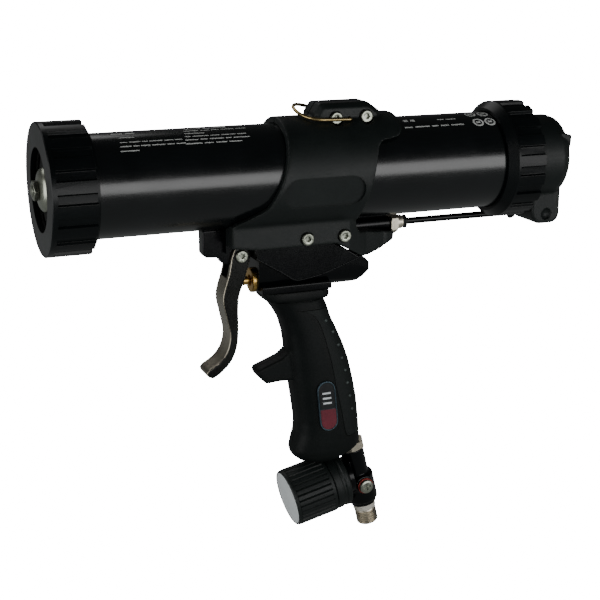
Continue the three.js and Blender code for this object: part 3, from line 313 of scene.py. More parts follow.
def combine(piece, tools, how):
    """Cuts, unites or intersects with other shapes, and removes them."""
    for tool in tools:
        modify(piece, "BOOLEAN", operation=how, object=tool, solver="EXACT")
        bpy.data.objects.remove(tool)
    return piece


def cut(piece, *tools):
    return combine(piece, tools, "DIFFERENCE")


def unite(piece, *tools):
    return combine(piece, tools, "UNION")


def common(piece, *tools):
    return combine(piece, tools, "INTERSECT")


def outward(piece):
    """Merges doubles and turns all faces outwards."""
    pick(piece)
    edit()
    bpy.ops.mesh.remove_doubles(threshold=0.0005)
    bpy.ops.mesh.normals_make_consistent(inside=False)
    bpy.ops.object.mode_set(mode="OBJECT")
    return piece


def bevelled(piece, width, segments=2, angle=32):
    return modify(piece, "BEVEL", width=width, segments=segments, limit_method="ANGLE",
                  angle_limit=math.radians(angle), use_clamp_overlap=True)


# %% Turned pieces


def turned(profile, sides=72, y=0, z=0, closed=False):
    """Extrudes a circle along X through the profile's [x, radius] points, and closes both ends."""
    clear()
    x, radius = profile[0]
    bpy.ops.mesh.primitive_circle_add(vertices=sides, radius=radius, location=(x, 0, 0),
                                      rotation=(math.pi / 2, 0, math.pi / 2))
    piece = bpy.context.object
    bpy.ops.object.transform_apply(location=True, rotation=True, scale=True)
    edit()
    path = list(profile) + ([profile[0]] if closed else [])
    for (x0, r0), (x1, r1) in zip(path, path[1:]):
        bpy.ops.mesh.extrude_edges_move(TRANSFORM_OT_translate={"value": (x1 - x0, 0, 0)})
        bpy.ops.transform.resize(value=(1, r1 / r0, r1 / r0), center_override=(x1, 0, 0))
    bpy.ops.mesh.select_all(action="SELECT")
    bpy.ops.mesh.remove_doubles(threshold=0.0005)
    if not closed:
        bpy.ops.mesh.fill_holes(sides=0)
    bpy.ops.mesh.select_all(action="SELECT")
    bpy.ops.mesh.normals_make_consistent(inside=False)
    bpy.ops.object.mode_set(mode="OBJECT")
    piece.data.transform(Matrix.Translation((0, y, z)))
    return piece


def rod(x0, x1, radius, y=0, z=0, sides=48):
    return turned([(x0, radius), (x1, radius)], sides, y, z)


# %% Slabs
ALONG = {
    "X": lambda u, v, w: (w, u, v),
    "Y": lambda u, v, w: (u, w, v),
    "Z": lambda u, v, w: (u, v, w),
}


def slab(outline, start, end, along="Y"):
    """Fills an outline and extrudes it from start to end."""
    clear()
    at = ALONG[along]
    bpy.ops.mesh.primitive_circle_add(vertices=len(outline), radius=1, fill_type="NGON")
    piece = bpy.context.object
    for vertex, (u, v) in zip(piece.data.vertices, outline):
        vertex.co = at(u, v, start)
    edit()
    bpy.ops.mesh.extrude_region_move(TRANSFORM_OT_translate={"value": at(0, 0, end - start)})
    bpy.ops.object.mode_set(mode="OBJECT")
    return outward(piece)


def block(x0, x1, y0, y1, z0, z1):
    """A box between two heights."""
    return slab([(x0, y0), (x0, y1), (x1, y1), (x1, y0)], z0, z1, "Z")


def ring_points(count, radius, turn=0.0, centre=(0, 0)):
    """Corners of a regular polygon."""
    return [(centre[0] + radius * math.cos(turn + i * math.tau / count),
             centre[1] + radius * math.sin(turn + i * math.tau / count)) for i in range(count)]


def pin(x, z, y0, y1, radius, sides=48):
    """A round bar that runs across, along Y."""
    return slab(ring_points(sides, radius, centre=(x, z)), y0, y1)


def smooth_line(points, steps=6):
    """A Catmull-Rom curve through the points."""
    ends = [points[0]] + list(points) + [points[-1]]
    line = []
    for a, b, c, d in zip(ends, ends[1:], ends[2:], ends[3:]):
        for i in range(steps):
            t = i / steps
            line.append(tuple(
                0.5 * (2 * q + (r - p) * t + (2 * p - 5 * q + 4 * r - s) * t * t + (3 * q - p - 3 * r + s) * t ** 3)
                for p, q, r, s in zip(a, b, c, d)))
    return line + [tuple(points[-1])]


# %% Moulded pieces


def moulded(piece, voxel, rounds, factor=0.5):
    """Fuses all shells with a fine remesh and rounds the corners."""
    modify(piece, "REMESH", mode="VOXEL", voxel_size=voxel)
    return modify(piece, "SMOOTH", factor=factor, iterations=rounds)


def gather(piece, *others):
    """Joins shapes into one object without cutting them; the remesh fuses them."""
    pick(piece)
    for other in others:
        other.select_set(True)
    bpy.ops.object.join()
    return bpy.context.object


# %% Finishing a piece


def finish(piece, name, body, material, replaced=(), place=HOME, angle=36):
    """Brings a piece into the frame, shades it, and ties it to its body, slot and CAD nodes."""
    pick(piece)
    piece.name = name
    piece.data.name = name
    piece.data.transform(place)
    piece.data.materials.clear()
    piece.data.materials.append(material)
    if angle:
        bpy.ops.object.shade_smooth_by_angle(angle=math.radians(angle))
        modify(piece, "WEIGHTED_NORMAL", keep_sharp=True)
    else:
        bpy.ops.object.shade_smooth()
    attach(piece, body)
    if replaced:
        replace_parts(piece, *replaced)
    size = [round(1000 * d, 1) for d in piece.dimensions]
    print(f"{name}: {len(piece.data.polygons)} faces, {size} mm")
    return piece


def twin(piece, name, shift, replaced, body):
    """A copy of a finished piece with its own mesh, moved in the frame."""
    copy = doubled(piece)
    copy.data.transform(Matrix.Translation(Vector(shift) * MM))
    copy.name = copy.data.name = name
    copy["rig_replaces"] = []
    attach(copy, body)
    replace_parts(copy, *replaced)
    return copy


# %% [markdown]
# ## Barrel
# The barrel is a drawn aluminium tube with square ends, dyed black. A turned tube with small
# chamfers is enough, but it needs many sides, because its long highlight shows every flat.

# %% Barrel tube
BARREL_R = 28
BARREL_ENDS = (4.6, 276.3)
barrel = turned([(BARREL_ENDS[0], 26), (BARREL_ENDS[1], 26), (BARREL_ENDS[1], BARREL_R), (BARREL_ENDS[0], BARREL_R)],
                160, closed=True)
bevelled(barrel, 0.35)
finish(barrel, "barrel_tube_visual", "gun", anodised_black, ["barrel_tube"])

# %% [markdown]
# White marks are printed on the tube. Ours are plain: rows of short bars and four rings, wrapped
# round the tube a twentieth of a millimetre proud, as thick as screen ink.

# %% Printed marks
INK_R = BARREL_R + 0.05


def on_tube(x, angle, radius=INK_R):
    """A point on the tube: angle is counted up from the near side, in degrees."""
    turn = math.radians(angle)
    return Vector((x, -radius * math.cos(turn), radius * math.sin(turn)))


def printed(mesh, x0, x1, low, high, steps=2):
    """One bar of ink between two lengths and two angles."""
    rows = [[mesh.verts.new(on_tube(x, low + (high - low) * i / steps)) for i in range(steps + 1)] for x in (x0, x1)]
    for a, b, c, d in zip(rows[0], rows[1], rows[1][1:], rows[0][1:]):
        mesh.faces.new((a, b, c, d))


ink = bmesh.new()
LINES = (
    # first x, last x, angle of the line, height in degrees, bar lengths
    (38, 53, 79, 2.4, (6, 5)),
    (41, 51, 69, 1.3, (8,)),
    (40.5, 74, 60, 1.3, (4, 6, 3, 7, 5, 4)),
    (40, 75, 53.5, 1.3, (6, 3, 5, 7, 4, 5)),
    (39.5, 52, 47, 1.3, (10,)),
    (78, 102, 83, 1.4, (9, 13)),
    (77, 112, 76.5, 1.3, (8, 5, 4, 7, 6)),
    (76.5, 90, 70, 1.3, (11,)),
    (76, 110, 64, 1.3, (3, 9, 5, 8, 5)),
    (75.5, 111, 58, 1.3, (7, 4, 8, 3, 9)),
    (75, 106, 52, 1.3, (9, 5, 6, 7)),
    (205, 212, 69, 4.4, (2.6, 2.6)),
    (226, 238, 69, 1.6, (4, 6)),
    (203, 244, 57, 1.8, (5, 9, 4, 5, 8)),
)
for first, last, angle, high, bars in LINES:
    space = (last - first - sum(bars)) / max(len(bars) - 1, 1)
    x = first
    for length in bars:
        printed(ink, x, min(x + length, last + 2), angle, angle + high)
        x += length + min(space, 1.6)


def printed_ring(mesh, x, angle, outer, inner, sides=28):
    """A ring of ink; the plain bar across it is printed by the loop below."""
    loops = []
    for radius in (outer, inner):
        loops.append([
            mesh.verts.new(on_tube(x + radius * math.cos(t), angle + math.degrees(radius * math.sin(t) / INK_R)))
            for t in (i * math.tau / sides for i in range(sides))
        ])
    for i in range(sides):
        j = (i + 1) % sides
        mesh.faces.new((loops[0][i], loops[0][j], loops[1][j], loops[1][i]))


for x, angle in ((249.5, 80), (257.5, 79), (250.2, 60), (257.8, 60)):
    printed_ring(ink, x, angle, 3.4, 2.3)
    printed(ink, x - 1.3, x + 1.3, angle - 1.6, angle + 1.6)
marks_mesh = bpy.data.meshes.new("barrel_printed_marks")
ink.to_mesh(marks_mesh)
ink.free()
marks = bpy.data.objects.new("barrel_printed_marks", marks_mesh)
bpy.context.scene.collection.objects.link(marks)
outward(marks)
modify(marks, "SOLIDIFY", thickness=0.04, offset=-1)
finish(marks, "barrel_printed_marks", "gun", ink_white)

# %% [markdown]
# ## Ring nuts
# Both ring nuts are turned, bored and then grooved lengthways for a hand. The ribs are one slab with
# a toothed outline, united with the turned rim, so grooves end in the rim as a cutter leaves them.

# %% Ring nuts
RIBS = 18


def rib_outline(count, radius, depth, groove, wall=0.15, turn=0.0):
    """Lands at the full radius with grooves between them; groove is a share of the pitch."""
    points = []
    slope = groove * wall
    stops = [(0, 0), (0, (1 - groove) / 2), (0, 1 - groove), (depth, 1 - groove + slope), (depth, 1 - slope)]
    if wall == 0.5:
        stops.pop()
    for i in range(count):
        for sunk, share in stops:
            angle = turn + (i + share) * math.tau / count
            points.append(((radius - sunk) * math.cos(angle), (radius - sunk) * math.sin(angle)))
    return points


def ring_ribs(x0, x1, radius, turn):
    """The ribs of a ring nut, hollow inside."""
    ribs = slab(rib_outline(RIBS, radius, 1.7, 0.47, 0.1, math.radians(turn)), x0, x1, "X")
    cut(ribs, rod(x0 - 5, x1 + 6, 30, sides=96))
    return bevelled(ribs, 0.25)


FRONT_RING_R = 35.4
FRONT_OPENING_R = 22.3
front_ring = turned([(0, FRONT_OPENING_R), (25.4, FRONT_OPENING_R), (25.4, 31.6), (23, 32.2), (2.9, 33.2),
                     (2.9, FRONT_RING_R), (0.5, FRONT_RING_R), (0, FRONT_RING_R - 0.5)], 144, closed=True)
unite(front_ring, ring_ribs(2.2, 23.6, FRONT_RING_R, 4))
cut(front_ring, rod(2.9, 40, 28.35, sides=144))
finish(front_ring, "front_ring_visual", "front_ring", anodised_ribs, ["front_ring_nut"], angle=28)

REAR_RING_R = 34
REAR_RING = (262.1, 285.1)
rear_ring = turned([(REAR_RING[0], 28.35), (278.6, 28.35), (281.9, 28.35), (281.9, 24.85), (REAR_RING[1], 24.85),
                    (REAR_RING[1], 32), (268, 32.4), (268, REAR_RING_R), (266.8, REAR_RING_R),
                    (REAR_RING[0], 30)], 144, closed=True)
unite(rear_ring, ring_ribs(267.4, REAR_RING[1] - 0.2, REAR_RING_R, 9))
finish(rear_ring, "rear_ring_visual", "rear_ring", anodised_ribs, ["rear_ring_nut"], angle=28)

# %% [markdown]
# ## Rear cap
# The rear cap is a moulding: a cup that the rear ring clamps, with a block below it where the air
# tube plugs in. It is gathered from a turned cup, a slab for the block and a small tab, then fused.

# %% Rear cap
CAP_R = 24.5
cap = turned([(278.2, 27.6), (281.7, 27.6), (281.9, CAP_R), (303, CAP_R), (307, 23), (308.8, 20.8), (309.4, 18)], 96)
port = slab([(289.6, -14), (289.6, -32), (290.6, -36.4), (294, -39.4), (304.6, -39.4), (307.8, -37.6), (309.1, -34),
             (309.1, -12)], -13, 13)
port = bevelled(port, 2.8, 4, 20)
dimple = pin(299.4, -33.5, -15, -11.8, 3.6)
tab = slab([(303, 6.5), (309.5, 7.5), (310, 14.5), (303, 16)], -20, -16.5)
cap = moulded(gather(cap, port, tab), 0.55, 5)
cut(cap, rod(270, 305.6, 21, sides=96), rod(285, 298.6, 2.35, 9, -35.4), dimple)
finish(cap, "rear_cap_visual", "gun", nylon_matt, ["rear_cap"], angle=0)

# %% [markdown]
# ## Piston front
# Through the front opening one sees the piston: a domed bright washer, a hexagonal nut with its
# corners turned off, and the rounded end of the bolt, in front of the dark piston.

# %% Dome washer, nut and bolt end
dome = turned([(3.7, 3.3), (3.7, 11.4), (3.2, 11.9), (2.4, 11.8), (1.2, 10.9), (0.2, 9.2), (-0.4, 7.0), (-0.6, 3.3)],
              96, closed=True)
bevelled(dome, 0.25, 2, 40)
finish(dome, "piston_dome_washer_visual", "piston", zinc_bright, ["piston_dome_washer"])
nut = slab(ring_points(6, 10 / math.sqrt(3)), -3.3, -0.9, "X")
common(nut, turned([(-3.4, 4.4), (-2.6, 5.9), (-0.8, 5.9)], 64))
cut(nut, rod(-5, 5, 3.3))
bevelled(nut, 0.15)
finish(nut, "piston_nut_visual", "piston", zinc_bright, ["piston_nut"])
bolt = turned([(-4.3, 1.2), (-4.1, 2.2), (-3.6, 3.0), (20, 3.0), (24, 3.0)], 48)
unite(bolt, slab(ring_points(6, 10 / math.sqrt(3)), 24.3, 28.3, "X"))
finish(bolt, "piston_bolt_visual", "piston", zinc_bright, ["piston_bolt"])

# %% [markdown]
# ## Saddle
# Two moulded halves wrap the barrel and carry the lug, with a seam down the middle. Each starts as a
# side outline trimmed to a cylinder; the lug and the lower skirt are gathered to it, and the remesh
# leaves the soft radii of a moulding. The barrel's bore and the screw seats are cut afterwards, so
# they stay crisp.

# %% Outlines of the saddle
SADDLE_R = 31.7
SEAM = 0.15
wrap_line = (
    [(131, 36), (130.2, 24)]
    + smooth_line([(130, 22), (127.6, 12), (124, 1), (120, -8), (116.6, -13.4), (110, -17.6), (101, -22.4)], 5)
    + [(98.9, -27), (98.9, -32), (172.6, -32)]
    + smooth_line([(172.9, -24), (173.9, -18), (175.8, -8), (178.4, 4), (181.6, 15), (185, 18.8), (191, 19.8),
                   (195.4, 20.9), (198.8, 24), (200, 28), (200, 36)], 4)
)
skirt_line = [(98.9, -24), (98.9, -36), (113, -37.9), (160, -37.9), (172, -44.6), (181.6, -50.2), (186, -50.3),
              (196, -48), (205.6, -44.2), (206.3, -39.4), (192, -37.2), (178, -34.6), (174.4, -30), (173.6, -18),
              (112, -17)]
skirt_plan = [(90, -20), (168, -20), (184, -6), (206.3, 2.6), (206.3, 13.4), (172, 20), (90, 20)]
lug_line = [(150.8, 24), (150.6, 33), (154.4, 38.6), (183.2, 38.6), (190.6, 33.4), (191, 24)]
LUG_HALF = 10.5
SKIRT_HALF = 20
SEAT_DEPTH = 1.44
recess_ends = ((133.2, -6.4), (164, -6.4))
RECESS_TILT = math.asin(6.4 / SADDLE_R)
UPPER_SCREWS = ((162.9, 30.5), (181, 30.7))
LOWER_SCREWS = ((142.2, -33.8), (164.5, -33.8))
BAIL_PIVOT = (171, 29.9)


def stadium(ends, radius, sides=10):
    """Two half circles joined by straight sides."""
    (x0, z0), (x1, z1) = ends
    turn = math.atan2(z1 - z0, x1 - x0)
    return [
        (x + radius * math.cos(turn + side + (i / sides - 0.5) * math.pi),
         z + radius * math.sin(turn + side + (i / sides - 0.5) * math.pi))
        for x, z, side in ((x1, z1, 0), (x0, z0, math.pi))
        for i in range(sides + 1)
    ]


# %% Saddle halves
HOUSING_LINE = [(117.5, -38.3), (160, -38.3), (172, -44.9), (178, -48.9), (182.4, -50.3), (184.8, -53), (184.8, -57.5),
                (178.8, -63.6), (175.2, -65.4), (117.5, -65.4)]


def saddle_half(near):
    """One half: near is True for the side towards the badge."""
    sign = -1 if near else 1
    side = (sign * SEAM, sign * 60)
    wrap = common(slab(wrap_line, min(side), max(side)), rod(90, 210, SADDLE_R, sides=144))
    skirt = common(slab(skirt_line, min(side), max(side)), slab(skirt_plan, -60, -10, "Z"))
    lug = bevelled(slab(lug_line, -LUG_HALF, LUG_HALF), 2.9, 1, 60)
    lug = common(lug, slab([(140, min(side)), (200, min(side)), (200, max(side)), (140, max(side))], 0, 60, "Z"))
    half = moulded(gather(wrap, skirt, lug), 0.6, 9)
    if near:
        for radius, depth in ((8.5, 1.25), (8.0, 1.6)):
            level = slab([(90, -40), (210, -40), (210, 40), (90, 40)], -60, depth - SADDLE_R)
            level.data.transform(Matrix.Rotation(RECESS_TILT, 4, "X"))
            cut(half, common(slab(stadium(recess_ends, radius), -60, 0), level))
    else:
        cut(half, rod(160, 240, 4.9, 9, -35.4))
    cut(half, rod(80, 220, BARREL_R + 0.3, sides=144),
        block(97, 176.4, -8.3, 8.3, -60, -18),
        slab(HOUSING_LINE, -9.8, 9.8))
    for places, face in ((UPPER_SCREWS, sign * LUG_HALF), (LOWER_SCREWS, sign * SKIRT_HALF)):
        for x, z in places:
            cut(half, pin(x, z, face - sign * SEAT_DEPTH, face + sign * 6, 4.1))
    cut(half, pin(*BAIL_PIVOT, -40, 40, 1.3, 24))
    return half


finish(saddle_half(True), "saddle_near_visual", "gun", nylon_matt, ["saddle_left"], angle=30)
finish(saddle_half(False), "saddle_far_visual", "gun", nylon_matt, ["saddle_right"], angle=30)

# %% [markdown]
# ## Screws and nuts
# The saddle is clamped by socket head screws with nuts on the far side. One screw is modelled with
# its chamfered head and hexagonal socket, and the others are copies with their own mesh.

# %% Socket head screws


def socket_screw(x, z, face, head_r=3.6, head=3.0, socket=3.0, shank_r=2.0, end=12):
    """A screw across the gun, its head standing on face at the near side."""
    body = turned([(0, 1.3), (0, head_r - 0.6), (0.25, head_r - 0.2), (0.8, head_r), (head, head_r), (head, shank_r),
                   (head + end, shank_r)], 64)
    cut(body, slab(ring_points(6, socket / math.sqrt(3), 0.2), -1, 1.7, "X"))
    bevelled(body, 0.12)
    body.data.transform(Matrix.Translation((x, face - head, z)) @ Matrix.Rotation(math.pi / 2, 4, "Z"))
    return body


LUG_SEAT = -9.36
SKIRT_SEAT = -18.86


def both_places(piece, label, node, places):
    """Finishes a fastener in the first of two places and sets its twin in the second."""
    (x0, z0), (x1, z1) = places
    first = finish(piece, f"{label}_front_visual", "gun", zinc_bright, [f"{node}_1"])
    twin(first, f"{label}_rear_visual", (x1 - x0, 0, z1 - z0), [f"{node}_2"], "gun")


both_places(socket_screw(*UPPER_SCREWS[0], LUG_SEAT, end=21), "lug_screw", "lug_bolt", UPPER_SCREWS)
both_places(socket_screw(*LOWER_SCREWS[0], SKIRT_SEAT, end=40), "skirt_screw", "saddle_bolt", LOWER_SCREWS)


def hex_nut(x, z, y, flats, thick, hole):
    """A nut whose corners are turned off on the outer face."""
    body = slab(ring_points(6, flats / math.sqrt(3)), 0, thick, "X")
    common(body, turned([(-0.1, flats), (thick - 0.9, flats * 0.6), (thick + 0.05, flats * 0.47)], 64))
    cut(body, rod(-1, thick + 1, hole, sides=32))
    bevelled(body, 0.1)
    body.data.transform(Matrix.Translation((x, y, z)) @ Matrix.Rotation(math.pi / 2, 4, "Z"))
    return body


both_places(hex_nut(*UPPER_SCREWS[0], -LUG_SEAT, 7, 3, 2.15), "lug_nut", "lug_nut", UPPER_SCREWS)
both_places(hex_nut(*LOWER_SCREWS[0], -SKIRT_SEAT, 7, 3, 2.15), "skirt_nut", "saddle_nut", LOWER_SCREWS)

# %% [markdown]
# ## Hanging bail
# The bail is one length of drawn wire, bent to a flat loop whose ends turn into the lug. A circle is
# extruded along the bends, as wire goes through a former.

# %% Bail
BAIL_HALF = 14
BAIL_REACH = 28
BAIL_ARC = 12


def wire(points, radius, sides=3):
    """A round wire along a line of [x, y, z] points."""
    shape = bpy.data.curves.new("wire", "CURVE")
    shape.dimensions = "3D"
    shape.bevel_depth = radius
    shape.bevel_resolution = sides
    shape.use_fill_caps = True
    spline = shape.splines.new("POLY")
    spline.points.add(len(points) - 1)
    for point, place in zip(spline.points, points):
        point.co = (*place, 1)
    piece = bpy.data.objects.new("wire", shape)
    bpy.context.scene.collection.objects.link(piece)
    pick(piece)
    bpy.ops.object.convert(target="MESH")
    return outward(bpy.context.object)


def bail_line():
    """The wire's middle line: reach forward of the pivot, and across."""
    bend = 1.7
    leg = [(0, -7.6), (0, 1 + bend - BAIL_HALF)]
    leg += [(bend * (1 - math.cos(t)), bend * (1 - math.sin(t)) - BAIL_HALF) for t in
            (math.pi * i / 12 for i in range(1, 7))]
    arc = [(BAIL_REACH - BAIL_ARC + BAIL_ARC * math.sin(t), -BAIL_HALF * math.cos(t)) for t in
           (math.pi * i / 28 for i in range(0, 29))]
    return leg + arc + [(u, -y) for u, y in reversed(leg)]


bail = wire([(BAIL_PIVOT[0] - reach, y, BAIL_PIVOT[1] + reach * (0.03 + 0.27 * (y + BAIL_HALF) / (2 * BAIL_HALF)))
             for reach, y in bail_line()], 1.0, 5)
finish(bail, "hanging_bail_visual", "bail", brass_wire, ["hanging_bail"], angle=50)

# %% [markdown]
# ## Valve housing
# The casting under the saddle has broad rounded edges under thick enamel. Its body, cheeks, nose and
# outlet boss are slabs and rods united; the holes that other pieces need are cut last, and a fine
# bead follows the cheeks' edge.

# %% Valve housing
cheek_line = (
    [(114, -38.6), (160, -38.6), (172, -45.2), (177, -48.6)]
    + smooth_line([(176.4, -49.4), (169.1, -51.9), (160.7, -54.7), (152.4, -57.2), (142.8, -58.8), (138.6, -59),
                   (135.6, -58), (130.5, -54.4), (122.5, -49.5), (116.5, -46.2), (114, -44.6)], 3)
)
nose_line = [(103, -28), (87, -28), (87, -41.2), (88.6, -43.4), (96, -44), (98.5, -47.6), (104, -49.2), (109, -48.7),
             (112.6, -46.4), (114.2, -43.2), (114, -34)]
PIVOT = (108, -43.2)
VALVE_Z = -59.4
body_section = [(-9.5, -38), (-9.5, -57.8), (-8.6, -61.4), (-6.4, -64), (-2.6, -65.4), (2.6, -65.4), (6.4, -64),
                (8.6, -61.4), (9.5, -57.8), (9.5, -38)]
body = common(slab(HOUSING_LINE, -9.5, 9.5), slab(body_section, 90, 200, "X"))
cheeks = bevelled(slab(cheek_line, -14, 14), 1.2, 3, 40)
core = block(99, 175.8, -8, 8, -41, -22.2)
pad = block(160, 175.8, 0, 13.4, -41, -30)
foot = bevelled(block(118.6, 160.4, -12.6, 12.6, -65.6, -61.6), 0.5, 2)
nose = bevelled(slab(nose_line, -4.4, 4.4), 0.9, 3, 40)
room = [pin(*PIVOT, -40, -4.4, 7), pin(*PIVOT, 4.4, 40, 7)]
rim_line = [(114.6, -44.9), (122.3, -49.6), (130.4, -54.6), (135.5, -58.2), (138.6, -59.2), (142.8, -59),
            (152.4, -57.4), (160.7, -54.9), (169.1, -52.1), (176.2, -49.6)]
housing = bevelled(body, 1.3, 3, 50)
unite(housing, cheeks, core, pad)
cut(housing, *room)
unite(housing, nose)
boss = bevelled(rod(160, 204.5, 4.6, 9, -35.4, 96), 0.5)
unite(housing, boss)
cut(housing, rod(60, 230, BARREL_R + 0.3, sides=144), rod(116.8, 172, 5, 0, VALVE_Z, 64),
    pin(*PIVOT, -30, 30, 2.35, 32), rod(190, 220, 2.4, 9, -35.4, 32))
for x, z in LOWER_SCREWS:
    cut(housing, pin(x, z, -40, 40, 2.3, 32))
unite(housing, foot)
finish(housing, "valve_housing_visual", "gun", enamel_black, ["valve_housing"], angle=40)


for side, name in ((-1, "near"), (1, "far")):
    edge = wire([(x, side * 13.9, z + 0.9) for x, z in smooth_line(rim_line, 3)], 0.42)
    finish(edge, f"housing_edge_{name}", "gun", enamel_black, angle=60)

# %% [markdown]
# The gland nut that closes the valve, and the stem whose head the trigger presses, are turned brass.

# %% Gland and stem
gland = turned([(115.2, 3.2), (115.2, 6.5), (115.6, 7.1), (117.5, 7.2), (117.5, 4.7), (126.8, 4.7), (126.8, 1.85),
                (117.8, 1.85), (117.8, 3.2)], 96, 0, VALVE_Z, closed=True)
bevelled(gland, 0.18)
finish(gland, "valve_gland_visual", "gun", brass_turned, ["valve_gland"])
stem = turned([(110.6, 1.2), (110.75, 2.1), (111.2, 2.6), (113.6, 2.6), (113.8, 1.5), (150, 1.5), (150, 4),
               (153, 4)], 64, 0, VALVE_Z)
finish(stem, "valve_stem_visual", "stem", brass_turned, ["valve_stem"])

# %% [markdown]
# ## Trigger
# The trigger is a casting with a broad front face that swings round its pivot, with its foot turned
# forwards. A slab with generous bevels gives the rolled edges, and the fork is cut for the casting's
# lug. The front face is wide and its sides fall back, as the draft of the mould leaves them.

# %% Trigger lever
trigger_line = (
    smooth_line([(102.4, -44.8), (101.0, -53), (97.2, -66.6), (99.0, -78), (101.0, -88.5), (99.4, -97), (94.8, -103.2),
                 (88.2, -107.4)], 6)
    + [(86.8, -109.4), (88, -111.8), (90.8, -112.7)]
    + smooth_line([(94.6, -110.6), (101.2, -104.4), (105, -96), (106.1, -86), (106.1, -74), (106.9, -65.7),
                   (109.2, -59.4), (112.2, -50), (113.6, -43.4), (112.2, -39.6), (108.6, -37.7), (104.4, -39)], 4)
)
lever = slab(trigger_line, -7.4, 7.4)
lever = moulded(lever, 0.42, 9)
cut(lever, slab([(80, -56), (130, -56), (130, -20), (80, -20)], -4.75, 4.75), pin(*PIVOT, -30, 30, 2.35, 32))
finish(lever, "trigger_visual", "trigger_lever", nickel_satin, ["trigger"], angle=40)
# The flat sides, whose faces look along Y, take the second slot: a near-black painted dark reflection.
lever.data.materials.append(nickel_sides_dark_reflection)
for face in lever.data.polygons:
    if abs(face.normal.y) > 0.93:
        face.material_index = 1
finish(socket_screw(*PIVOT, -8.0, head=1.5, socket=2.5, end=18), "trigger_pivot_screw_visual", "gun",
       zinc_bright, ["trigger_pivot_screw"])
finish(hex_nut(*PIVOT, 8.0, 6, 2.4, 2.2), "trigger_pivot_nut_visual", "gun", zinc_bright,
       ["trigger_pivot_nut"])

# %% [markdown]
# ## Air line
# A hexagonal fitting, a release collet and a straight black nylon tube lead the air to the rear cap.
# The tube is held at both ends, so it is a fixed piece and not a loose hose.

# %% Fitting, collets and tube
TUBE_Y, TUBE_Z = 9, -35.4
fitting = slab([(y + TUBE_Y, z + TUBE_Z) for y, z in ring_points(6, 12 / math.sqrt(3), math.pi / 6)], 204.8, 209.4, "X")
common(fitting, turned([(204.7, 6.2), (205.2, 6.9), (209, 6.9), (209.5, 6.2)], 64, TUBE_Y, TUBE_Z))
unite(fitting, turned([(209, 4.4), (209.6, 4.2), (213, 4.2), (213.8, 3.7)], 64, TUBE_Y, TUBE_Z),
      rod(198.8, 205, 2.1, TUBE_Y, TUBE_Z))
cut(fitting, rod(206.8, 216, 2.3, TUBE_Y, TUBE_Z), rod(198, 207, 1.2, TUBE_Y, TUBE_Z, 24))
bevelled(fitting, 0.18)
finish(fitting, "outlet_fitting_visual", "gun", nickel_turned, ["outlet_fitting"])


def collet(x0, x1, flip=1):
    """A push-in release ring with a flared lip."""
    lip = [(x0, 2.3), (x0, 3.5), (x1 - 1.1, 3.5), (x1 - 0.9, 4.0), (x1 - 0.2, 4.0), (x1, 3.7), (x1, 2.3)]
    if flip < 0:
        lip = [(x0 + x1 - x, r) for x, r in lip]
    return turned(lip, 64, TUBE_Y, TUBE_Z, closed=True)


finish(collet(214.1, 216.2), "outlet_collet_visual", "gun", nylon_matt, ["outlet_collet"])
finish(collet(287.0, 289.3, -1), "rear_collet_visual", "gun", nylon_matt, ["rear_collet"])
tube = turned([(207.2, 1.3), (297.6, 1.3), (297.6, 2), (207.2, 2)], 48, TUBE_Y, TUBE_Z, closed=True)
finish(tube, "air_tube_visual", "gun", enamel_black, ["air_tube"])

# %% [markdown]
# ## Grip
# The grip is two shells of the saddle's nylon with a softer strip over the heel of the hand. Its
# sections are rounded squares that drift back as they go down; a circle is extruded through them.

# %% Grip blank
GRIP_SECTIONS = (
    # height, front, back, half width
    (-65.7, 120.4, 160.2, 12.9),
    (-68.2, 121, 160.6, 13.1),
    (-70.6, 122.4, 160.2, 13.1),
    (-71.6, 123.8, 158.6, 12.5),
    (-73.6, 126.2, 159.4, 12.5),
    (-77, 128.8, 160.9, 12.6),
    (-84, 132.8, 163.1, 12.9),
    (-92, 135.2, 167, 13.3),
    (-101, 136.6, 171, 13.8),
    (-110, 137.5, 174.2, 14.2),
    (-121, 139, 177, 14.5),
    (-134, 141, 179.6, 14.7),
    (-147, 142.9, 181, 14.8),
    (-154, 142.6, 181.6, 14.8),
    (-160, 140.8, 182, 14.7),
    (-165, 139.6, 182, 14.3),
    (-168.6, 140.8, 181.4, 13.4),
    (-171, 143.8, 180, 12),
    (-172.5, 148.4, 177.4, 9.8),
)


COLLAR_FOOT = -71


def loft(sections, inset=0.0, around=72, square=2.7):
    """Extrudes a loop upwards through rounded-square sections, squarer in the collar."""
    clear()
    bpy.ops.mesh.primitive_circle_add(vertices=around, radius=1)
    piece = bpy.context.object
    edit()
    for _ in sections[1:]:
        bpy.ops.mesh.extrude_edges_move(TRANSFORM_OT_translate={"value": (0, 0, 1)})
    bpy.ops.object.mode_set(mode="OBJECT")
    levels = {}
    for vertex in piece.data.vertices:
        levels.setdefault(round(vertex.co.z), []).append(vertex)
    for level, (z, front, back, half) in enumerate(sections):
        for vertex in levels[level]:
            angle = math.atan2(vertex.co.y, vertex.co.x)
            c, s = math.cos(angle), math.sin(angle)
            power = 2 / (square + 3 * (z > COLLAR_FOOT))
            u = math.copysign(abs(c) ** power, c) * ((back - front) / 2 - inset)
            v = math.copysign(abs(s) ** power, s) * (half - inset)
            vertex.co = ((front + back) / 2 + u, v, z)
    edit()
    bpy.ops.mesh.fill_holes(sides=0)
    bpy.ops.object.mode_set(mode="OBJECT")
    return outward(piece)


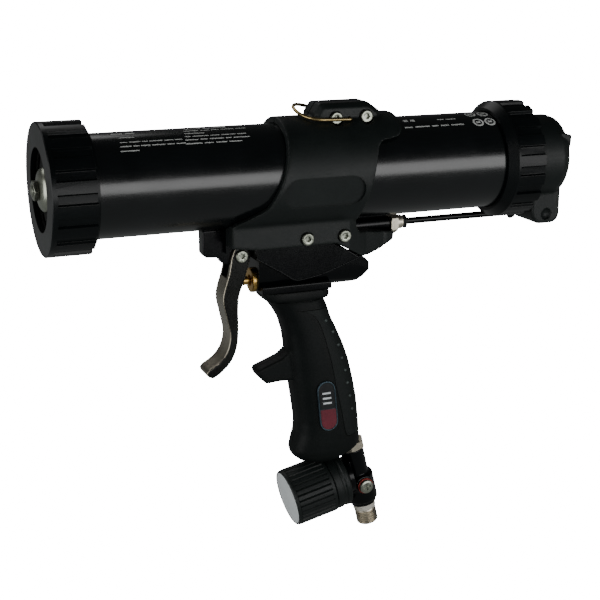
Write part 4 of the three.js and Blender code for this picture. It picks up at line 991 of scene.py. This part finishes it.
prong_line = [(148, -102), (137.4, -102.4), (132.6, -106.2), (118.6, -111.4), (117.3, -113), (118.4, -115.8),
              (122.8, -120.6), (131, -120.2), (137.6, -120.2), (148, -121.6)]
strip_line = (
    [(139, -77.6)]
    + smooth_line([(143, -77.9), (147.6, -79.4), (151.6, -83.4), (154.9, -90.6), (157.8, -101), (160, -109),
                   (162.6, -123), (166, -138), (167.6, -146), (168.9, -152.6), (171, -156), (175, -155.6)], 3)
    + [(200, -153), (200, -77.6)]
)
badge_tilt = math.radians(5.8)
BADGE = (157.2, -135.4)


def badge_outline(length, width):
    run = (length - width) / 2
    ends = [(BADGE[0] + k * run * math.sin(badge_tilt), BADGE[1] - k * run * math.cos(badge_tilt)) for k in (-1, 1)]
    return stadium(ends, width / 2, 14)


def grown_strip():
    """The strip's outline, 0.3 mm larger where it meets the shells."""
    return [(x - (0.3 if x < 190 else -5), z + (0.3 if z > -80 else 0) - (0.25 if z < -150 and x < 190 else 0))
            for x, z in strip_line]


grip = gather(loft(GRIP_SECTIONS), bevelled(slab(prong_line, -6.4, 6.4), 1.6, 3, 20))
grip = moulded(grip, 0.7, 6)
print("grip blank", len(grip.data.polygons))

# %% [markdown]
# The strip is the outer skin of the blank inside its own outline; the shells lose that skin. A groove
# of a few tenths is left all round, because that is how one sees that it is a piece of its own.

# %% Strip and shells
skin = doubled(grip)
cut(skin, loft(GRIP_SECTIONS, 2.0))
common(skin, slab(strip_line, -40, 40))
bevelled(skin, 0.3, 2, 50)
finish(skin, "grip_strip_visual", "gun", rubber_soft, ["grip_back_strip"], angle=40)

band = slab(grown_strip(), -40, 40)
cut(band, loft(GRIP_SECTIONS, 2.3))
cut(grip, band)
cut(grip, slab(badge_outline(31.1, 11.6), -30, -12.7))
step = block(90, 220, -40, 40, COLLAR_FOOT - 0.9, COLLAR_FOOT - 0.4)
cut(step, loft(GRIP_SECTIONS, 0.5))
cut(grip, step)


def inlet_rod(z0, z1, radius, sides=48):
    """A rod on the inlet's axis, in drawing place."""
    piece = slab(ring_points(sides, radius), z0, z1, "Z")
    piece.data.transform(Matrix.Translation(REGULATOR) @ Matrix.Rotation(-RAKE, 4, "Y"))
    return piece


foot_room = slab([(120, -182), (120, -178), (146, -173), (160, -171.4), (190, -158.8), (205, -158), (205, -182)],
                 -30, 30)
cut(grip, foot_room, inlet_rod(10, 21.4, 9.5), inlet_rod(20, 28.4, 5.3))
for near in (True, False):
    shell = doubled(grip)
    pick(shell)
    edit()
    sign = -1 if near else 1
    bpy.ops.mesh.bisect(plane_co=(0, sign * SEAM, 0), plane_no=(0, sign, 0), clear_inner=True, use_fill=True)
    bpy.ops.object.mode_set(mode="OBJECT")
    outward(shell)
    name, node_name = ("grip_near_visual", "grip_left") if near else ("grip_far_visual", "grip_right")
    finish(shell, name, "gun", nylon_grip, [node_name], angle=32)
bpy.data.objects.remove(grip)

# %% [markdown]
# Small domes stand in a row down the strip, and a badge is let into the near shell: a silver rim
# round a foil in two colours, left plain.

# %% Grip dots and badge
DOT_LINE = ((157.2, -84.6), (161.8, -91.8), (165.1, -99.9), (167.2, -107.8), (169.2, -115.6), (170.6, -123.4),
            (172.2, -131.6), (173.6, -139.8))
DOT_RISE = 0.5
dots = []
for x, z in DOT_LINE:
    dot = turned([(0, 0.4), (0.1, 0.7), (0.35, 0.95), (1.6, 1.0)], 20)
    _, where, normal, _ = skin.ray_cast(HOME @ Vector((x, -40, z)), Vector((0, 1, 0)))
    turn = Vector((-1, 0, 0)).rotation_difference(normal).to_matrix().to_4x4()
    dot.data.transform(Matrix.Translation(HOME.inverted() @ where + normal * DOT_RISE) @ turn)
    dots.append(dot)
print("dots", len(dots))
# The domes take the lighter rubber colour, a painted highlight on each.
finish(gather(*dots), "grip_dots", "gun", rubber_domes_highlight, angle=60)

BADGE_FACE = -15.5
BADGE_HALF = 13.85
rim = slab(badge_outline(30.5, 11), BADGE_FACE, -13)
cut(rim, slab(badge_outline(29.3, 9.8), -20, BADGE_FACE + 0.45))
bevelled(rim, 0.22, 3)
finish(rim, "grip_badge_visual", "gun", foil_rim, ["grip_badge"])


def foil(name, low, high, material):
    """Part of the badge's face between two shares of its height."""
    piece = slab(badge_outline(28.9, 9.4), BADGE_FACE + 0.08, BADGE_FACE + 0.42)
    along = Vector((-math.sin(badge_tilt), 0, math.cos(badge_tilt)))
    half = 28.9 / 2
    window = [(BADGE[0] + along.x * h + w, BADGE[1] + along.z * h) for w, h in
              ((-9, low * half), (9, low * half), (9, high * half), (-9, high * half))]
    common(piece, slab(window, -20, -10))
    bevelled(piece, 0.06, 1)
    return finish(piece, name, "gun", material)


foil("badge_foil_upper", -0.12, 1.05, foil_dark)
foil("badge_foil_lower", -1.05, -0.14, foil_red)
for i, (low, high) in enumerate(((0.1, 0.18), (0.32, 0.4), (0.54, 0.62))):
    x = BADGE[0] - BADGE_HALF * high * 0.1
    z0, z1 = (BADGE[1] + BADGE_HALF * share for share in (low, high))
    corners = [(x - 2.7, z0), (x + 2.6, z0), (x + 2.6, z1), (x - 2.7, z1)]
    bar = slab(corners, BADGE_FACE + 0.02, BADGE_FACE + 0.2)
    bevelled(bar, 0.05, 1)
    finish(bar, f"badge_bar_{i + 1}", "gun", foil_grey)

# %% [markdown]
# ## Regulator
# The regulator screws into the grip's foot: a small casting with a bonnet, a ribbed knob with a grey
# disc, a plug on the near side and the threaded inlet below. All of it is drawn upright and raked.

# %% Regulator body and bonnet


def upright(z0, z1, radius, sides=72):
    return slab(ring_points(sides, radius), z0, z1, "Z")


regulator = gather(
    upright(-4, 16.6, 7),
    upright(-18.2, -1, 9.3),
    slab(ring_points(72, 7.9), -21, -18, "Z"),
    rod(-9.2, -5.5, 11.5),
    pin(0, -6, -9.2, 0, 5.6, 72),
)
regulator = moulded(regulator, 0.45, 8)
unite(regulator, upright(15, 26.6, 5))
cut(regulator, upright(-22, -10.7, 5.3), pin(0, -6, -11, -4.2, 2.8, 32), upright(-13, 28, 2.4, 32))
finish(regulator, "regulator_body_visual", "gun", enamel_black, ["regulator_body"], place=INLET,
       angle=40)

bonnet = turned([(-10.2, 7.6), (-10.2, 15.8), (-11.2, 16.8), (-13.4, 16.8), (-13.8, 16.2), (-15.4, 16.2), (-15.8, 16.8),
                 (-19.8, 16.8), (-20.4, 16.2), (-20.4, 9.8), (-23.6, 9.8), (-23.6, 3.35), (-21.2, 3.35),
                 (-21.2, 7.6)], 96, closed=True)
bevelled(bonnet, 0.3)
finish(bonnet, "regulator_bonnet_visual", "gun", nylon_matt, ["regulator_bonnet"], place=INLET)

# %% Knob
KNOB_FACE = -46.4
KNOB_R = 17.3
knob = turned([(KNOB_FACE + 0.9, 15.9), (KNOB_FACE + 0.1, 16.0), (KNOB_FACE, 16.4), (KNOB_FACE + 0.7, 17.0),
               (KNOB_FACE + 2, KNOB_R - 0.1), (KNOB_FACE + 2.4, 16.3), (KNOB_FACE + 23.6, 16.3),
               (KNOB_FACE + 23.9, KNOB_R), (KNOB_FACE + 25.6, KNOB_R), (KNOB_FACE + 25.6, 14.3),
               (KNOB_FACE + 9, 14.3)], 128)
teeth = slab(rib_outline(32, KNOB_R, 0.85, 0.36, 0.5), KNOB_FACE + 2.2, KNOB_FACE + 24.0, "X")
cut(teeth, rod(-60, 0, 15.2, sides=96))
bevelled(teeth, 0.16, 2, 20)
unite(knob, teeth)
finish(knob, "regulator_knob_visual", "knob", nylon_matt, ["regulator_knob"], place=INLET, angle=28)
disc = turned([(KNOB_FACE + 0.9, 15.7), (KNOB_FACE + 0.28, 15.7), (KNOB_FACE + 0.2, 15.5), (KNOB_FACE + 0.2, 12.6),
               (KNOB_FACE + 0.28, 12.4), (KNOB_FACE + 0.2, 12.2), (KNOB_FACE + 0.2, 0.4)], 96)
finish(disc, "knob_label_disc_visual", "knob", foil_grey, ["knob_label_disc"], place=INLET)

# %% Plug screw and washer
washer = slab(ring_points(64, 4.8), -10.7, -9.5)
cut(washer, pin(0, 0, -12, -8, 2.8))
washer.data.transform(Matrix.Translation((0, 0, -6)))
bevelled(washer, 0.2, 3)
finish(washer, "plug_washer_visual", "gun", fibre_red, ["plug_washer"], place=INLET)
plug = turned([(-12.6, 2.4), (-12.5, 3.4), (-12.1, 4.1), (-11.6, 4.3), (-11, 4.3), (-11, 2.5), (-4.4, 2.5)], 64)
plug.data.transform(Matrix.Translation((0, 0, -6)) @ Matrix.Rotation(math.pi / 2, 4, "Z"))
cut(plug, slab([(-2.3, -6.5), (2.3, -6.5), (2.3, -5.5), (-2.3, -5.5)], -14, -11.5),
    slab([(-0.5, -8.3), (0.5, -8.3), (0.5, -3.7), (-0.5, -3.7)], -14, -11.5))
bevelled(plug, 0.12)
finish(plug, "plug_screw_visual", "gun", zinc_bright, ["plug_screw"], place=INLET)

# %% [markdown]
# The lock nut clamps the grip's foot. Below the body come a nylon collar and the nipple, whose thread
# is turned as a row of grooves at the real pitch of 1.34 mm.

# %% Lock nut, collar and nipple
lock = slab(ring_points(6, 15 / math.sqrt(3), math.radians(10)), 16.9, 21.3, "Z")
lathe = turned([(16.8, 8.0), (17.4, 8.66), (20.8, 8.66), (21.4, 8.0)], 64)
lathe.data.transform(Matrix.Rotation(-math.pi / 2, 4, "Y"))
common(lock, lathe)
cut(lock, upright(15, 23, 5.3))
bevelled(lock, 0.25, 3)
finish(lock, "inlet_lock_nut_visual", "gun", nickel_turned, ["inlet_lock_nut"], place=INLET)


def upended(piece):
    """Turns a piece drawn along X so that it runs along Z."""
    piece.data.transform(Matrix.Rotation(-math.pi / 2, 4, "Y"))
    return piece


collar = upended(turned([(-24.5, 5.3), (-21.3, 5.3), (-21.3, 6.9), (-24.5, 6.9)], 72, closed=True))
bevelled(collar, 0.5, 3)
finish(collar, "inlet_collar_visual", "gun", nylon_white, ["inlet_collar"], place=INLET)
PITCH = 1.337
thread = [(-34.5, 3.5), (-34.5, 5.7)]
for i in range(6):
    top = -33.7 + i * PITCH
    thread += [(top, 6.5), (top + 0.25, 6.58), (top + 0.75, 5.85), (top + 0.95, 5.85)]
thread += [(-25.4, 6.58), (-24.8, 6.4), (-24.8, 5), (-12, 5), (-12, 3.5)]
nipple = upended(turned(thread, 96, closed=True))
finish(nipple, "inlet_nipple_visual", "gun", nickel_turned, ["inlet_nipple"], place=INLET, angle=50)

# %% [markdown]
# ## Pieces kept from the frame
# The inner pieces show only through gaps, and their shapes are already right, so they keep their own
# meshes and take a finish.

# %% Finishes for the kept nodes
KEPT = {
    "front_seal": rubber_seal, "rear_cap_seal": rubber_seal, "piston_body": rubber_seal, "piston_seal": rubber_seal,
    "piston_back_plate": zinc_bright, "valve_seat": brass_turned, "valve_seal": rubber_seal,
    "valve_spring": spring_steel, "grip_air_pipe": aluminium_drawn, "regulator_diaphragm": rubber_seal,
    "regulator_spring": spring_steel, "spring_button": brass_turned, "adjusting_screw": zinc_bright,
}
for name, material in KEPT.items():
    nodes[name].data.materials.clear()
    nodes[name].data.materials.append(material)
print("kept", len(KEPT))

# %% Sizes and finish
low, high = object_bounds()
print("grown by mm", [round(1000 * (a - b), 2) for a, b in zip(cad_low, low)],
      [round(1000 * (a - b), 2) for a, b in zip(high, cad_high)])
